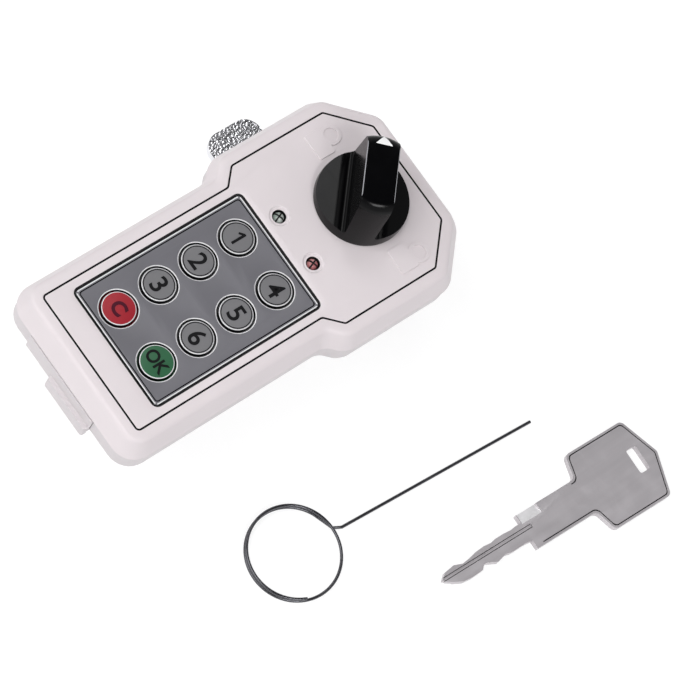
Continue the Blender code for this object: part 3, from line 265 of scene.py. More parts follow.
def shape_of(held):
    """The final shape of a helper object, which is removed."""
    bpy.context.view_layer.update()
    mesh = bpy.data.meshes.new_from_object(
        held.evaluated_get(bpy.context.evaluated_depsgraph_get()))
    bpy.data.objects.remove(held, do_unlink=True)
    bm = bmesh.new()
    bm.from_mesh(mesh)
    bpy.data.meshes.remove(mesh)
    return bm


def combined(bm, tool, operation="DIFFERENCE"):
    """The exact Boolean of two closed meshes."""
    meshes = [mesh_from("blank", half) for half in (bm, tool)]
    base, other = [linked("blank", mesh) for mesh in meshes]
    step = base.modifiers.new("combine", "BOOLEAN")
    step.operation = operation
    step.solver = "EXACT"
    step.object = other
    result = shape_of(base)
    bpy.data.objects.remove(other, do_unlink=True)
    for mesh in meshes:
        bpy.data.meshes.remove(mesh)
    bmesh.ops.dissolve_degenerate(result, dist=MERGE, edges=result.edges[:])
    return result


def piece(name, bm, look, body, nodes=(), edge=0.0, angle=32, others=(), edge_steps=2,
          edge_finish=-1):
    """Turns a mesh into a finished piece of the lock; others are the finishes of marked faces."""
    mesh = mesh_from(name, bm)
    for finish in (look, *others):
        mesh.materials.append(finish)
    mesh.shade_smooth()
    mesh.set_sharp_from_angle(angle=math.radians(angle))
    made = linked(name, mesh)
    if edge:
        soften = made.modifiers.new("soft edges", "BEVEL")
        soften.width = edge * MM
        soften.segments = edge_steps
        soften.material = edge_finish
        soften.limit_method = "ANGLE"
        soften.angle_limit = math.radians(angle)
        soften.harden_normals = True
        soften.use_clamp_overlap = True
    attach(made, body)
    if nodes:
        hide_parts(*nodes)


# Shader groups shared by the finishes
def fed(tree, node, values):
    """Sets each named input of a node to a constant, or links it to an output of another node."""
    for label, value in values.items():
        if isinstance(value, bpy.types.NodeSocket):
            tree.links.new(value, node.inputs[label])
        else:
            node.inputs[label].default_value = value
    return node


def group_with(name, values, results):
    tree = bpy.data.node_groups.new(name, "ShaderNodeTree")
    for label, start in values:
        socket = tree.interface.new_socket(name=label, in_out="INPUT", socket_type="NodeSocketFloat")
        socket.default_value = start
    for label in results:
        tree.interface.new_socket(name=label, in_out="OUTPUT", socket_type="NodeSocketFloat")
    return tree, tree.nodes.new("NodeGroupInput").outputs, tree.nodes.new("NodeGroupOutput")


def noise(tree, place, scale, detail, rough=0.5):
    node = fed(tree, tree.nodes.new("ShaderNodeTexNoise"),
               {"Vector": place, "Scale": scale, "Detail": detail, "Roughness": rough})
    return node.outputs["Fac"]


def maths(tree, kind, a, b):
    node = tree.nodes.new("ShaderNodeMath")
    node.operation = kind
    return fed(tree, node, {0: a, 1: b}).outputs["Value"]


def spread(tree, value, low, high, out_low=0.0, out_high=1.0):
    node = fed(tree, tree.nodes.new("ShaderNodeMapRange"),
               {"Value": value, "From Min": low, "From Max": high, "To Min": out_low,
                "To Max": out_high})
    return node.outputs["Result"]


def object_place(tree):
    return tree.nodes.new("ShaderNodeTexCoord").outputs["Object"]


def stretched(tree, place, scale):
    node = fed(tree, tree.nodes.new("ShaderNodeMapping"), {"Vector": place, "Scale": scale})
    return node.outputs["Vector"]


def build_moulding_grain():
    """Fine eroded grain of a mould, with the faint flow marks of the plastic."""
    tree, given, out = group_with("moulding_grain", (("Scale", 5000.0), ("Flow", 60.0)),
                                  ("Height", "Shade"))
    place = object_place(tree)
    fine = noise(tree, place, given["Scale"], 2.0, 0.6)
    flow = noise(tree, place, given["Flow"], 3.0)
    fed(tree, out, {"Height": fine, "Shade": spread(tree, flow, 0.3, 0.7)})
    return tree


def build_handling_marks():
    """Smudges from fingers and short fine scratches."""
    tree, given, out = group_with("handling_marks", (("Scale", 120.0), ("Scratches", 700.0)),
                                  ("Smudge", "Scratch"))
    place = object_place(tree)
    smudge = spread(tree, noise(tree, place, given["Scale"], 4.0), 0.45, 0.75)
    lines = []
    for scale in ((1.0, 0.04, 0.3), (0.05, 1.0, 0.3)):
        streak = noise(tree, stretched(tree, place, scale), given["Scratches"], 1.0)
        lines.append(spread(tree, streak, 0.70, 0.76))
    fed(tree, out, {"Smudge": smudge, "Scratch": maths(tree, "MAXIMUM", *lines)})
    return tree


def build_drawn_lines():
    """Fine parallel lines left by rolling, drawing or turning."""
    starts = (("Along X", 1.0), ("Along Y", 0.03), ("Scale", 4000.0))
    tree, given, out = group_with("drawn_lines", starts, ("Height", "Streak"))
    along = fed(tree, tree.nodes.new("ShaderNodeCombineXYZ"),
                {"X": given["Along X"], "Y": given["Along Y"], "Z": 0.5})
    scaled = tree.nodes.new("ShaderNodeVectorMath")
    scaled.operation = "MULTIPLY"
    place = fed(tree, scaled, {0: object_place(tree), 1: along.outputs["Vector"]}).outputs["Vector"]
    fine = noise(tree, place, given["Scale"], 2.0)
    broad = noise(tree, place, maths(tree, "MULTIPLY", given["Scale"], 0.12), 2.0)
    fed(tree, out, {"Height": fine, "Streak": spread(tree, broad, 0.3, 0.7)})
    return tree


def build_plating_ripple():
    """Slow ripple and pin pricks of bright plating over a casting."""
    tree, given, out = group_with("plating_ripple", (("Scale", 260.0), ("Pits", 2600.0)),
                                  ("Height", "Haze"))
    place = object_place(tree)
    ripple = noise(tree, place, given["Scale"], 2.0, 0.4)
    pits = spread(tree, noise(tree, place, given["Pits"], 1.0), 0.70, 0.80)
    height = maths(tree, "SUBTRACT", ripple, maths(tree, "MULTIPLY", pits, 0.25))
    haze = spread(tree, noise(tree, place, 90.0, 3.0), 0.35, 0.70)
    fed(tree, out, {"Height": height, "Haze": haze})
    return tree


MOULDING_GRAIN = build_moulding_grain()
HANDLING_MARKS = build_handling_marks()
DRAWN_LINES = build_drawn_lines()
PLATING_RIPPLE = build_plating_ripple()


# Finishes
def blank_finish(name):
    mat = bpy.data.materials.new(name)
    mat.use_nodes = True
    return mat, mat.node_tree, mat.node_tree.nodes["Principled BSDF"]


def placed_group(tree, group, **values):
    """The outputs of a shared group with its own values."""
    node = tree.nodes.new("ShaderNodeGroup")
    node.node_tree = group
    return fed(tree, node, {label.replace("_", " "): v for label, v in values.items()}).outputs


def blend_colours(tree, mask, low, high):
    node = tree.nodes.new("ShaderNodeMix")
    node.data_type = "RGBA"
    fed(tree, node, {"A": (*low, 1.0), "B": (*high, 1.0), "Factor": mask})
    return node.outputs["Result"]


def bump(tree, height, distance):
    node = fed(tree, tree.nodes.new("ShaderNodeBump"),
               {"Distance": distance, "Strength": 1.0, "Height": height})
    return node.outputs["Normal"]


def moulded(name, colour, rough, grain=0.00002, scale=5000.0, change=0.04, marks=0.05, specular=0.5):
    """Moulded plastic: eroded grain, faint flow marks and finger smudges."""
    mat, tree, shader = blank_finish(name)
    surface = placed_group(tree, MOULDING_GRAIN, Scale=scale)
    handled = placed_group(tree, HANDLING_MARKS)
    low = tuple(c * (1 - change) for c in colour)
    high = tuple(min(1.0, c * (1 + change)) for c in colour)
    worn = maths(tree, "ADD", handled["Smudge"], maths(tree, "MULTIPLY", handled["Scratch"], 0.6))
    worn = maths(tree, "MULTIPLY", worn, marks)
    fed(tree, shader, {"Base Color": blend_colours(tree, surface["Shade"], low, high),
                       "Specular IOR Level": specular,
                       "Roughness": maths(tree, "ADD", worn, rough - marks / 3),
                       "Normal": bump(tree, surface["Height"], grain)})
    return mat


def plated(name, colour, rough, ripple=0.00004, scale=260.0):
    """Bright plating: slow ripple, pits and a thin haze."""
    mat, tree, shader = blank_finish(name)
    surface = placed_group(tree, PLATING_RIPPLE, Scale=scale)
    handled = placed_group(tree, HANDLING_MARKS, Scale=200.0)
    low = tuple(c * 0.9 for c in colour)
    worn = maths(tree, "ADD", maths(tree, "MULTIPLY", surface["Haze"], 0.08),
                 maths(tree, "MULTIPLY", handled["Scratch"], 0.15))
    fed(tree, shader, {"Metallic": 1.0,
                       "Base Color": blend_colours(tree, surface["Haze"], colour, low),
                       "Roughness": maths(tree, "ADD", worn, rough),
                       "Normal": bump(tree, surface["Height"], ripple)})
    return mat


def drawn(name, colour, rough, along=(1.0, 0.03), depth=0.000004, scale=4000.0, change=0.12,
          metal=1.0):
    """Rolled, milled or drawn metal with fine lines along its length."""
    mat, tree, shader = blank_finish(name)
    surface = placed_group(tree, DRAWN_LINES, Along_X=along[0], Along_Y=along[1], Scale=scale)
    handled = placed_group(tree, HANDLING_MARKS, Scale=160.0)
    low = tuple(c * (1 - change) for c in colour)
    worn = maths(tree, "ADD", maths(tree, "MULTIPLY", handled["Smudge"], 0.10),
                 maths(tree, "MULTIPLY", handled["Scratch"], 0.10))
    fed(tree, shader, {"Metallic": metal,
                       "Base Color": blend_colours(tree, surface["Streak"], low, colour),
                       "Roughness": maths(tree, "ADD", worn, rough),
                       "Normal": bump(tree, surface["Height"], depth)})
    return mat


def lens(name, colour, glow):
    """Tinted clear epoxy of a small light, in two faintly mixed shades."""
    mat, tree, shader = blank_finish(name)
    surface = placed_group(tree, MOULDING_GRAIN, Scale=1500.0, Flow=500.0)
    fed(tree, shader, {"Base Color": blend_colours(tree, surface["Shade"], colour, glow),
                       "Transmission Weight": 0.4, "Roughness": 0.12, "IOR": 1.5})
    return mat


def rubber(name, colour):
    return moulded(name, colour, 0.75, grain=0.00003, scale=3500.0, change=0.10, marks=0.10)


def circuit(name):
    """Green solder mask with tracks that catch the light."""
    mat, tree, shader = blank_finish(name)
    tracks = fed(tree, tree.nodes.new("ShaderNodeTexBrick"),
                 {"Vector": object_place(tree), "Scale": 380.0, "Mortar Size": 0.08,
                  "Color1": (0.02, 0.16, 0.06, 1), "Color2": (0.015, 0.12, 0.05, 1),
                  "Mortar": (0.05, 0.26, 0.10, 1)}).outputs
    fed(tree, shader, {"Base Color": tracks["Color"],
                       "Roughness": spread(tree, tracks["Fac"], 0, 1, 0.35, 0.5),
                       "Normal": bump(tree, tracks["Fac"], 0.00003)})
    return mat


CASING = moulded("casing_plastic", (0.705, 0.648, 0.664), 0.42, change=0.015)
CASING_REAR = moulded("casing_rear_plastic", (0.630, 0.590, 0.603), 0.48, change=0.02)
# Painted highlight for the bevelled edges of the padlock signs.
MARK_EDGE_HIGHLIGHT = moulded("mark_painted_edge_highlight", (0.90, 0.86, 0.87), 0.42, change=0.01)
PLATE = moulded("plate_plastic", (0.62, 0.59, 0.60), 0.55, change=0.03)
# Black painted shade: in the casing's groove, light wells and keypad pocket, in the override key's
# fine grooves, and as the cross over each light.
SHADE_BLACK = moulded("painted_shade_black", (0.012, 0.011, 0.012), 0.7, change=0.1, specular=0.2)
PANEL = moulded("panel_grey", (0.146, 0.144, 0.160), 0.45, change=0.04)
# Black of the panel's fine line, also painted shade on the panel's side and in its holes.
PANEL_LINE_AND_SHADE = moulded("panel_line_and_painted_shade", (0.006, 0.006, 0.007), 0.6, change=0.1, specular=0.15)
KEY_GREY = moulded("key_grey", (0.166, 0.165, 0.172), 0.42, change=0.03)
# Painted highlight on the rims of the keys, the panel's raised band and the mouths of its holes.
RIM_HIGHLIGHT = moulded("painted_rim_highlight", (0.70, 0.70, 0.71), 0.45, change=0.05)
KEY_RED = moulded("key_red", (0.31, 0.010, 0.020), 0.40, change=0.05)
KEY_GREEN = moulded("key_green", (0.021, 0.108, 0.047), 0.40, change=0.05)
# Black ink of the legends, also painted shade on the sides of the key caps and the fine line of the
# grey keys.
LEGEND_AND_SHADE = moulded("legend_ink_and_painted_shade", (0.006, 0.006, 0.007), 0.5, change=0.1, specular=0.15)
LEGEND_RED = moulded("legend_ink_on_red", (0.060, 0.004, 0.014), 0.5, change=0.1, specular=0.2)
KNOB_BLACK = moulded("knob_black", (0.0014, 0.0014, 0.0018), 0.20, grain=0.000003, change=0.2,
                     marks=0.05, specular=0.16)
# Painted highlight along the grip's top edges.
KNOB_EDGE_HIGHLIGHT = moulded("knob_painted_edge_highlight", (0.30, 0.30, 0.32), 0.35, change=0.1)
POINTER_WHITE = moulded("pointer_white", (0.90, 0.90, 0.90), 0.4, change=0.01)
ZINC = plated("bright_zinc", (0.80, 0.80, 0.83), 0.10)
CAM_ZINC = plated("cam_zinc", (0.88, 0.88, 0.91), 0.12, ripple=0.00016, scale=1500.0)
ZINC_DULL = plated("dull_zinc", (0.66, 0.66, 0.68), 0.28, scale=400.0)
STEEL = drawn("plain_steel", (0.62, 0.62, 0.64), 0.28)
WIRE = drawn("bright_wire", (0.11, 0.11, 0.12), 0.22, along=(1.0, 1.0), scale=2500.0)
CELL_CAN = drawn("cell_can", (0.72, 0.72, 0.73), 0.22, scale=2500.0)
BRASS = drawn("plug_brass", (0.70, 0.54, 0.30), 0.25, along=(1.0, 1.0))
NICKEL = drawn("nickel_silver", (0.62, 0.59, 0.61), 0.42, along=(1.0, 0.05), scale=3000.0,
               metal=0.6)
# Painted highlight on the override key's bevelled edges and shoulder slope.
NICKEL_EDGE_HIGHLIGHT = drawn("nickel_painted_edge_highlight", (0.90, 0.89, 0.90), 0.34, along=(1.0, 1.0), scale=3000.0,
                    metal=0.6)
GOLD = drawn("contact_plating", (0.80, 0.68, 0.42), 0.22)
BOARD = circuit("board_green")
MAT_RUBBER = rubber("mat_rubber", (0.05, 0.05, 0.055))
SEAL_RUBBER = rubber("seal_rubber", (0.012, 0.012, 0.012))
LENS_GREEN = lens("led_green_lens", (0.36, 0.44, 0.39), (0.80, 0.86, 0.81))
LENS_RED = lens("led_red_lens", (0.50, 0.11, 0.12), (0.86, 0.42, 0.42))


# Casing
def make_front_shell():
    """Waisted front casing: flared sides, rounded edge, thin groove and the keypad's recess."""
    levels = [casing_level(CEILING, 2.234), casing_level(SPLIT, 3.6), casing_level(SPLIT, FLARE),
              *edge_levels(FACE, 3.45, 1.3, 1.55)]
    levels += [casing_level(FACE - deep, out) for deep, out in
               ((0, 0.22), (GROOVE_DEEP, 0.18), (GROOVE_DEEP, -0.18), (0, -0.22))]
    shell = stack(levels, CASING_OUTLINE, steps=8)

    low, high = CEILING - OVERLAP, FACE + OVERLAP
    half_x, half_y = PANEL_HALF_X + PANEL_GAP, PANEL_HALF_Y + PANEL_GAP
    margin, ledge_wide, corner, rim_corner = 1.9, 1.2, 1.3, 3.1
    pocket_levels = [
        (low, margin + ledge_wide, corner, 0), (PANEL_LEDGE, margin + ledge_wide, corner, 0),
        (PANEL_LEDGE, margin, corner, 0), (PANEL_TOP, margin, corner, 0),
        (15.25, margin - 0.5, 1.8, 0), (FACE - 0.06, 0.5, 2.6, 0),
        (FACE, 0.0, rim_corner, 0), (high, 0.0, rim_corner, 0)]
    outline = rectangle(half_x + margin, half_y + margin, (0, PANEL_MIDDLE))
    shell = combined(shell, stack(pocket_levels, outline))

    knob_hole, light_hole, dish, dish_low = 7.5, 1.8, 2.75, FACE - 0.35
    well = [(0, low), (light_hole, low), (light_hole, dish_low), (2.45, dish_low),
            (dish, FACE + 0.02), (dish, high), (0, high)]
    wells = [turned(well, steps=40, centre=(side * LIGHT_X, LIGHT_Y)) for side in (-1, 1)]
    shell = combined(shell, together(pillar(knob_hole, low, high, steps=72), *wells))
    groove_area = 60
    # Painted shade: the groove's floor and walls, the walls of the light wells and the walls round
    # the keypad's pocket get the black finish 1.
    for face, middle in faces_and_middles(shell):
        level = abs(face.normal.z)
        in_line = (level > 0.9 and abs(middle.z - (FACE - GROOVE_DEEP)) < 0.03
                   and face.calc_area() < groove_area * MM * MM)
        beside = level < 0.15 and abs(middle.z - (FACE - GROOVE_DEEP / 2)) < 0.05
        from_light = math.hypot(abs(middle.x) - LIGHT_X, middle.y - LIGHT_Y)
        in_well = level < 0.1 and from_light < light_hole + 0.1
        at_panel = (level < 0.1 and PANEL_LEDGE - 0.1 < middle.z < PANEL_TOP
                    and abs(middle.x) < half_x + 0.1
                    and abs(middle.y - PANEL_MIDDLE) < half_y + 0.1)
        if in_line or beside or in_well or at_panel:
            face.material_index = 1
    piece("front_shell_looks", shell, CASING, "casing", ["front_shell"], edge=0.10,
          others=[SHADE_BLACK])


def padlock_mark(name, left, right, near, far, ring):
    """Raised padlock sign beside the knob: a body and a round shackle."""
    low, high = FACE - 0.05, FACE + 0.30
    middle = ((left + right) / 2, (near + far) / 2)
    body = raised(rectangle((right - left) / 2, (far - near) / 2, middle), low, high, outer=0.4)
    inside, outside = 1.9, 2.75
    loop = turned([(inside, low), (outside, low), (outside, high), (inside, high)], steps=48,
                  centre=ring, closed=True)
    # Its bevels get finish 1, a light painted highlight.
    piece(name, combined(body, loop, "UNION"), CASING, "casing", edge=0.16,
          others=[MARK_EDGE_HIGHLIGHT], edge_finish=1)


def boss_hole(low, high):
    """Cutter for the hole that the boss goes through: round, with two flats."""
    radius, flat = 9.3, 8.3
    bar = pillar(radius, low - OVERLAP, high + OVERLAP, steps=72)
    for side in (-1, 1):
        cut = bmesh.ops.bisect_plane(bar, geom=bar.verts[:] + bar.edges[:] + bar.faces[:],
                                     plane_co=metres(side * flat, 0, 0), plane_no=(side, 0, 0),
                                     clear_outer=True)
        rim = [e for e in cut["geom_cut"] if isinstance(e, bmesh.types.BMEdge)]
        bmesh.ops.edgenet_fill(bar, edges=rim)
    return clean(bar)


def make_rear_base():
    """Rear casing with the opening for the battery tray in its end wall."""
    side, lip, edge = 5.1, 3.3, 0.8
    levels = [casing_level(FLOOR_TOP, lip), casing_level(BASE_TOP, lip),
              casing_level(BASE_TOP, side), *edge_levels(BASE_LOW, side, -edge, edge)]
    tray_tunnel = block((-14.8, -93, BASE_LOW - OVERLAP), (11.3, -36.5, SPLIT + OVERLAP))
    base = combined(stack(levels, CASING_OUTLINE, steps=8), tray_tunnel)
    head_hole, head_deep = 2.8, 1.5
    holes = [pillar(head_hole, BASE_LOW - OVERLAP, BASE_LOW + head_deep, place, 32)
             for place in SCREW_PLACES]
    base = combined(base, together(boss_hole(BASE_LOW, FLOOR_TOP), *holes))
    piece("rear_base_looks", base, CASING_REAR, "casing", ["rear_base"], edge=0.10)


def make_mounting_plate():
    """Flat plate against the door, with the hole for the boss and the relief between its seats."""
    levels = [casing_level(0, 2.5), casing_level(0.12, 2.75), casing_level(0.4, 2.9),
              casing_level(PLATE_TOP, 2.9)]
    pin_channel = block((12.0, -93, 1.2), (13.6, -37.5, PLATE_TOP + OVERLAP))
    relief = block((-31, -23, -OVERLAP), (31, -19, 0.6))
    plate = combined(stack(levels, CASING_OUTLINE),
                     together(boss_hole(0, PLATE_TOP), pin_channel, relief))
    piece("mounting_plate_looks", plate, PLATE, "casing", ["mounting_plate"], edge=0.12)


# Keypad; in the panel and the keys, finish 1 is black, for the fine lines and for painted shade in
# gaps and hole walls, and finish 2 is a painted highlight on rims and hole mouths
LINE_AND_SHADE_SLOT, HIGHLIGHT_SLOT = 1, 2


def make_panel():
    """Grey keypad panel with a fine line inside its edge and eight round holes."""
    line_low, rim_low = PANEL_TOP - 0.14, PANEL_TOP - 0.05
    levels = [(height, inset, corner, 0) for height, inset, corner in
              ((13.9, 0, 1.0), (rim_low, 0, 1.0), (PANEL_TOP, 0.05, 0.95), (PANEL_TOP, 0.36, 0.9),
               (PANEL_TOP, 0.64, 0.8), (line_low, 0.66, 0.8), (line_low, 0.92, 0.7),
               (PANEL_TOP, 0.94, 0.7))]
    panel = stack(levels, rectangle(PANEL_HALF_X, PANEL_HALF_Y, (0, PANEL_MIDDLE)))
    hole, mouth, low, high = 4.94, 5.22, 13, 16
    cutter = [(0, low), (hole, low), (hole, PANEL_TOP - 0.12), (mouth, PANEL_TOP + 0.01),
              (mouth, high), (0, high)]
    holes = [turned(cutter, centre=(side * KEY_COLUMN, y)) for side in (-1, 1) for y in KEY_ROWS]
    panel = combined(panel, together(*holes))
    # Finish 1 blackens the fine line inside the edge and paints shade on the panel's side and in its
    # holes; finish 2 paints a highlight on the band inside the edge and on the hole mouths.
    for face, middle in faces_and_middles(panel):
        out = min(math.hypot(abs(middle.x) - KEY_COLUMN, middle.y - y) for y in KEY_ROWS)
        inside = min(PANEL_HALF_X - abs(middle.x), PANEL_HALF_Y - abs(middle.y - PANEL_MIDDLE))
        under = PANEL_TOP - middle.z
        if 0.62 < inside < 0.96 and 0.01 < under < 0.15:
            face.material_index = LINE_AND_SHADE_SLOT
        elif inside < 0.05 and 0.01 < under < 1.15:
            face.material_index = LINE_AND_SHADE_SLOT
        elif 0.05 < inside < 0.37 and under < 0.005:
            face.material_index = HIGHLIGHT_SLOT
        elif out < hole + 0.02 and under > 0.1:
            face.material_index = LINE_AND_SHADE_SLOT
        elif out < mouth and under > 0.01:
            face.material_index = HIGHLIGHT_SLOT
    piece("keypad_panel_looks", panel, PANEL, "casing", ["keypad_panel"], edge=0.03,
          others=[PANEL_LINE_AND_SHADE, RIM_HIGHLIGHT])


def make_key(name, x, y, look):
    """Round key cap with a painted highlight on its rim and painted shade on its side, on a flange
    and a stem; the grey ones have a fine line too.
    """
    stem, flange, cap, foot, flange_low, flange_top = 1.5, 5.2, 4.36, 10.4, 12.9, 13.6
    profile = [(0, foot), (stem, foot), (stem, flange_low), (flange, flange_low),
               (flange, flange_top), (cap, flange_top), (cap, 15.40)]
    if look is KEY_GREY:
        profile += [(3.98, 15.43), (3.96, 15.29), (3.76, 15.29), (3.74, 15.44)]
    profile.append((0, 15.48))
    bm = turned(profile, rounds=((6, 0.24),), centre=(x, y))
    # Finish 2 paints a highlight on the cap's rim; finish 1, the legends' black, paints shade on the
    # cap's side and fills the grey keys' fine line.
    for face, middle in faces_and_middles(bm):
        out = math.hypot(middle.x - x, middle.y - y)
        if 4.09 < out < 4.32 and middle.z > 15.15:
            face.material_index = HIGHLIGHT_SLOT
        elif out > 4.33 and middle.z > flange_top + 0.1:
            face.material_index = LINE_AND_SHADE_SLOT
        elif look is KEY_GREY and 3.7 < out < 3.99 and 15.2 < middle.z < 15.40:
            face.material_index = LINE_AND_SHADE_SLOT
    piece(name + "_looks", bm, look, name, [name], others=[LEGEND_AND_SHADE, RIM_HIGHLIGHT])


def legend(name, words, size, x, y, look, body, squeeze=1.0, weight=0.0):
    """Lettering moulded into a key, made from type."""
    curve = bpy.data.curves.new(name, "FONT")
    curve.body = words
    curve.size = size * MM
    curve.extrude = (LEGEND_TOP - LEGEND_LOW) / 2 * MM
    curve.offset = weight * MM
    curve.resolution_u = 6
    curve.fill_mode = "BOTH"
    bm = shape_of(linked("typed", curve))
    bmesh.ops.scale(bm, verts=bm.verts[:], vec=(squeeze, 1, 1))
    spots = [v.co for v in bm.verts]
    middle = Vector([(min(p[i] for p in spots) + max(p[i] for p in spots)) / 2 for i in range(3)])
    place = metres(x, y, (LEGEND_LOW + LEGEND_TOP) / 2)
    bmesh.ops.translate(bm, verts=bm.verts[:], vec=place - middle)
    piece(name, clean(bm), look, body)


def figure_one(name, x, y, body):
    """The figure one as a plain stroke with a flag."""
    corners = [(0.35, -2.2), (1.05, -2.2), (1.05, 2.2), (0.45, 2.2), (-0.75, 1.15), (-0.40, 0.68),
               (0.35, 1.28)]
    placed = [(x + a - 0.25, y + b) for a, b in corners]
    piece(name, raised(placed, LEGEND_LOW, LEGEND_TOP), LEGEND_AND_SHADE, body)


def make_keys():
    for number in range(6):
        figure = str(number + 1)
        name = "key_" + figure
        x, y = KEY_COLUMN if number > 2 else -KEY_COLUMN, KEY_ROWS[number % 3]
        make_key(name, x, y, KEY_GREY)
        if number:
            legend("legend_" + figure, figure, 6.8, x, y, LEGEND_AND_SHADE, name, weight=0.10)
        else:
            figure_one("legend_1", x, y, name)
    y = KEY_ROWS[3]
    make_key("key_clear", -KEY_COLUMN, y, KEY_RED)
    legend("legend_clear", "C", 5.2, -KEY_COLUMN, y, LEGEND_RED, "key_clear", weight=0.20)
    make_key("key_ok", KEY_COLUMN, y, KEY_GREEN)
    legend("legend_ok", "OK", 4.8, KEY_COLUMN, y, LEGEND_AND_SHADE, "key_ok", squeeze=0.90, weight=0.12)


def make_light(name, side, look):
    """Small round light: clear body, its lead frame inside and a dark cross of painted shade over its
    dome, where the lead frame shows dark through the body.
    """
    x, y = side * LIGHT_X, LIGHT_Y
    flange, radius, foot, flange_top = 1.9, 1.5, 9.9, 10.9
    dome = [(radius, 14.4), (1.25, 15.05), (0.75, 15.42), (0, 15.5)]
    body = [(0, foot), (flange, foot), (flange, flange_top), (radius, flange_top), *dome]
    piece(name + "_looks", turned(body, steps=32, centre=(x, y)), look, "casing", [name], angle=40)
    cup = turned([(0, 10.6), (0.35, 10.6), (0.35, 13.6), (1.1, 14.2), (1.1, 14.5), (0.9, 14.5),
                  (0.3, 14.1), (0, 14.1)], steps=20, centre=(x, y))
    piece(name + "_lead_frame", cup, STEEL, "casing")
    # The cross is a thin skin just over the dome in the black painted-shade finish.
    bar_half, proud, cross_low = 0.21, 0.04, 14.3
    bars = [block((x - a, y - b, 14.2), (x + a, y + b, 16))
            for a, b in ((1.6, bar_half), (bar_half, 1.6))]
    grown = [(r + (proud if r else 0), z + proud) for r, z in dome]
    skin = turned([(0, cross_low), (radius + proud, cross_low), *grown], steps=32, centre=(x, y))
    cross = moved(combined(skin, combined(*bars, "UNION"), "INTERSECT"),
                  shift(x, y, 0) @ rotation(20) @ shift(-x, -y, 0))
    piece(name + "_cross", cross, SHADE_BLACK, "casing")


# Knob
def knob_blank():
    """Turned body of the knob, cut down on both sides of its grip by hollow flanks."""
    skirt, crown, crown_edge = 12.2, 10.3, 2.9
    body = turned([(0, 0), (skirt, 0), (skirt, 1.1), (crown, KNOB_TALL), (0, KNOB_TALL)],
                  rounds=((3, crown_edge),), steps=160, corner_steps=9)
    clear, above, length = 13.7, KNOB_TALL + 2, 30
    flank = [(3.9, above), (4.0, KNOB_TALL), (4.2, 17.8), (3.75, 3.0), (6.3, 3.35), (clear, 1.80),
             (clear, above)]
    flanks = []
    for turn in (180, 0):
        bm = bmesh.new()
        verts = [bm.verts.new(metres(-length / 2, y, z)) for y, z in flank]
        bm.faces.new(verts)
        rounded(bm, [verts[4]], 0.9, 10)
        rounded(bm, [verts[3]], 1.2, 12)
        flanks.append(clean(moved(extruded(bm, bm.faces[:], (length, 0, 0)), rotation(turn))))
    return combined(body, together(*flanks))


def pointer_prism(grow, low):
    back, tip, half = 7.35 - grow, 10.1 + 1.6 * grow, 2.15 + 1.7 * grow
    return raised([(back, -half), (tip, 0), (back, half)], low, KNOB_TALL + 2)


def make_knob():
    """Round black knob with a raised grip, a socket underneath and a white pointer let in on top."""
    wide, narrow, step, socket_top, slot_half = 7.5, 5.5, 1.3, 2.7, 2.7
    tools = [turned([(0, -OVERLAP), (wide, -OVERLAP), (wide, step), (narrow, step),
                     (narrow, socket_top), (0, socket_top)], steps=72)]
    tools += [block((low, -slot_half, -OVERLAP), (high, slot_half, 5.3))
              for low, high in ((-wide, -4.5), (4.5, wide))]
    tools.append(pointer_prism(0.06, 16.7))
    body = knob_blank()
    for tool in tools:
        body = combined(body, tool)
    # Painted highlight: the narrow faces just below the grip's top edges get the light grey finish 1.
    for face, middle in faces_and_middles(body):
        if 4.0 < abs(middle.y) < 4.2 and KNOB_TALL - 0.2 < middle.z < KNOB_TALL:
            face.material_index = 1
    place = shift(0, 0, KNOB_FOOT) @ rotation(GRIP_TURN)
    piece("knob_looks", moved(body, place), KNOB_BLACK, "knob", ["knob"],
          others=[KNOB_EDGE_HIGHLIGHT])
    inlay = combined(pointer_prism(0, 16.8), knob_blank(), "INTERSECT")
    piece("pointer_looks", moved(inlay, place), POINTER_WHITE, "knob", ["knob_pointer"], edge=0.05)


# Sleeve, cylinder and spindle
def make_sleeve():
    """Steel sleeve that drives the knob by two dogs, its flange notched for the plunger."""
    bore, wall, flange, low, flange_top, high = 5.5, 7.2, 10.2, 7.1, 9.5, 20.9
    sleeve = turned([(bore, low), (flange, low), (flange, flange_top), (wall, flange_top),
                     (wall, high), (bore, high)], steps=80, closed=True)
    notches = [block((7.7, -2.2, 6), (12, 2.2, 11)), block((-2.2, 7.7, 6), (2.2, 12, 11))]
    dog_half, dog_low = 2.4, 16.9
    for side in (-1, 1):
        near, wide = sorted((side * dog_half, side * 9))
        notches.append(moved(block((-8, near, dog_low), (8, wide, 22)), rotation(GRIP_TURN)))
    piece("drive_sleeve_looks", combined(sleeve, together(*notches)), STEEL, "drive_sleeve",
          ["drive_sleeve"], edge=0.12)


def make_plug():
    """Brass cylinder plug with its keyway and wafer slots."""
    radius, low, high = 5.2, 8.8, 18.3
    plug = turned([(0, low), (radius, low), (radius, high), (0, high)], rounds=((2, 0.25),))
    plug = combined(plug, block((-1.25, -3.7, 9.7), (1.25, 3.7, 20)))
    slot_half, top_slot, pitch = 0.65, 16.3, 2.0
    heights = [top_slot - pitch * number for number in range(4)]
    slots = [block((-3.2, -7, z - slot_half), (3.2, 7, z + slot_half)) for z in heights]
    piece("key_plug_looks", combined(plug, together(*slots)), BRASS, "spindle", ["key_plug"],
          edge=0.08)


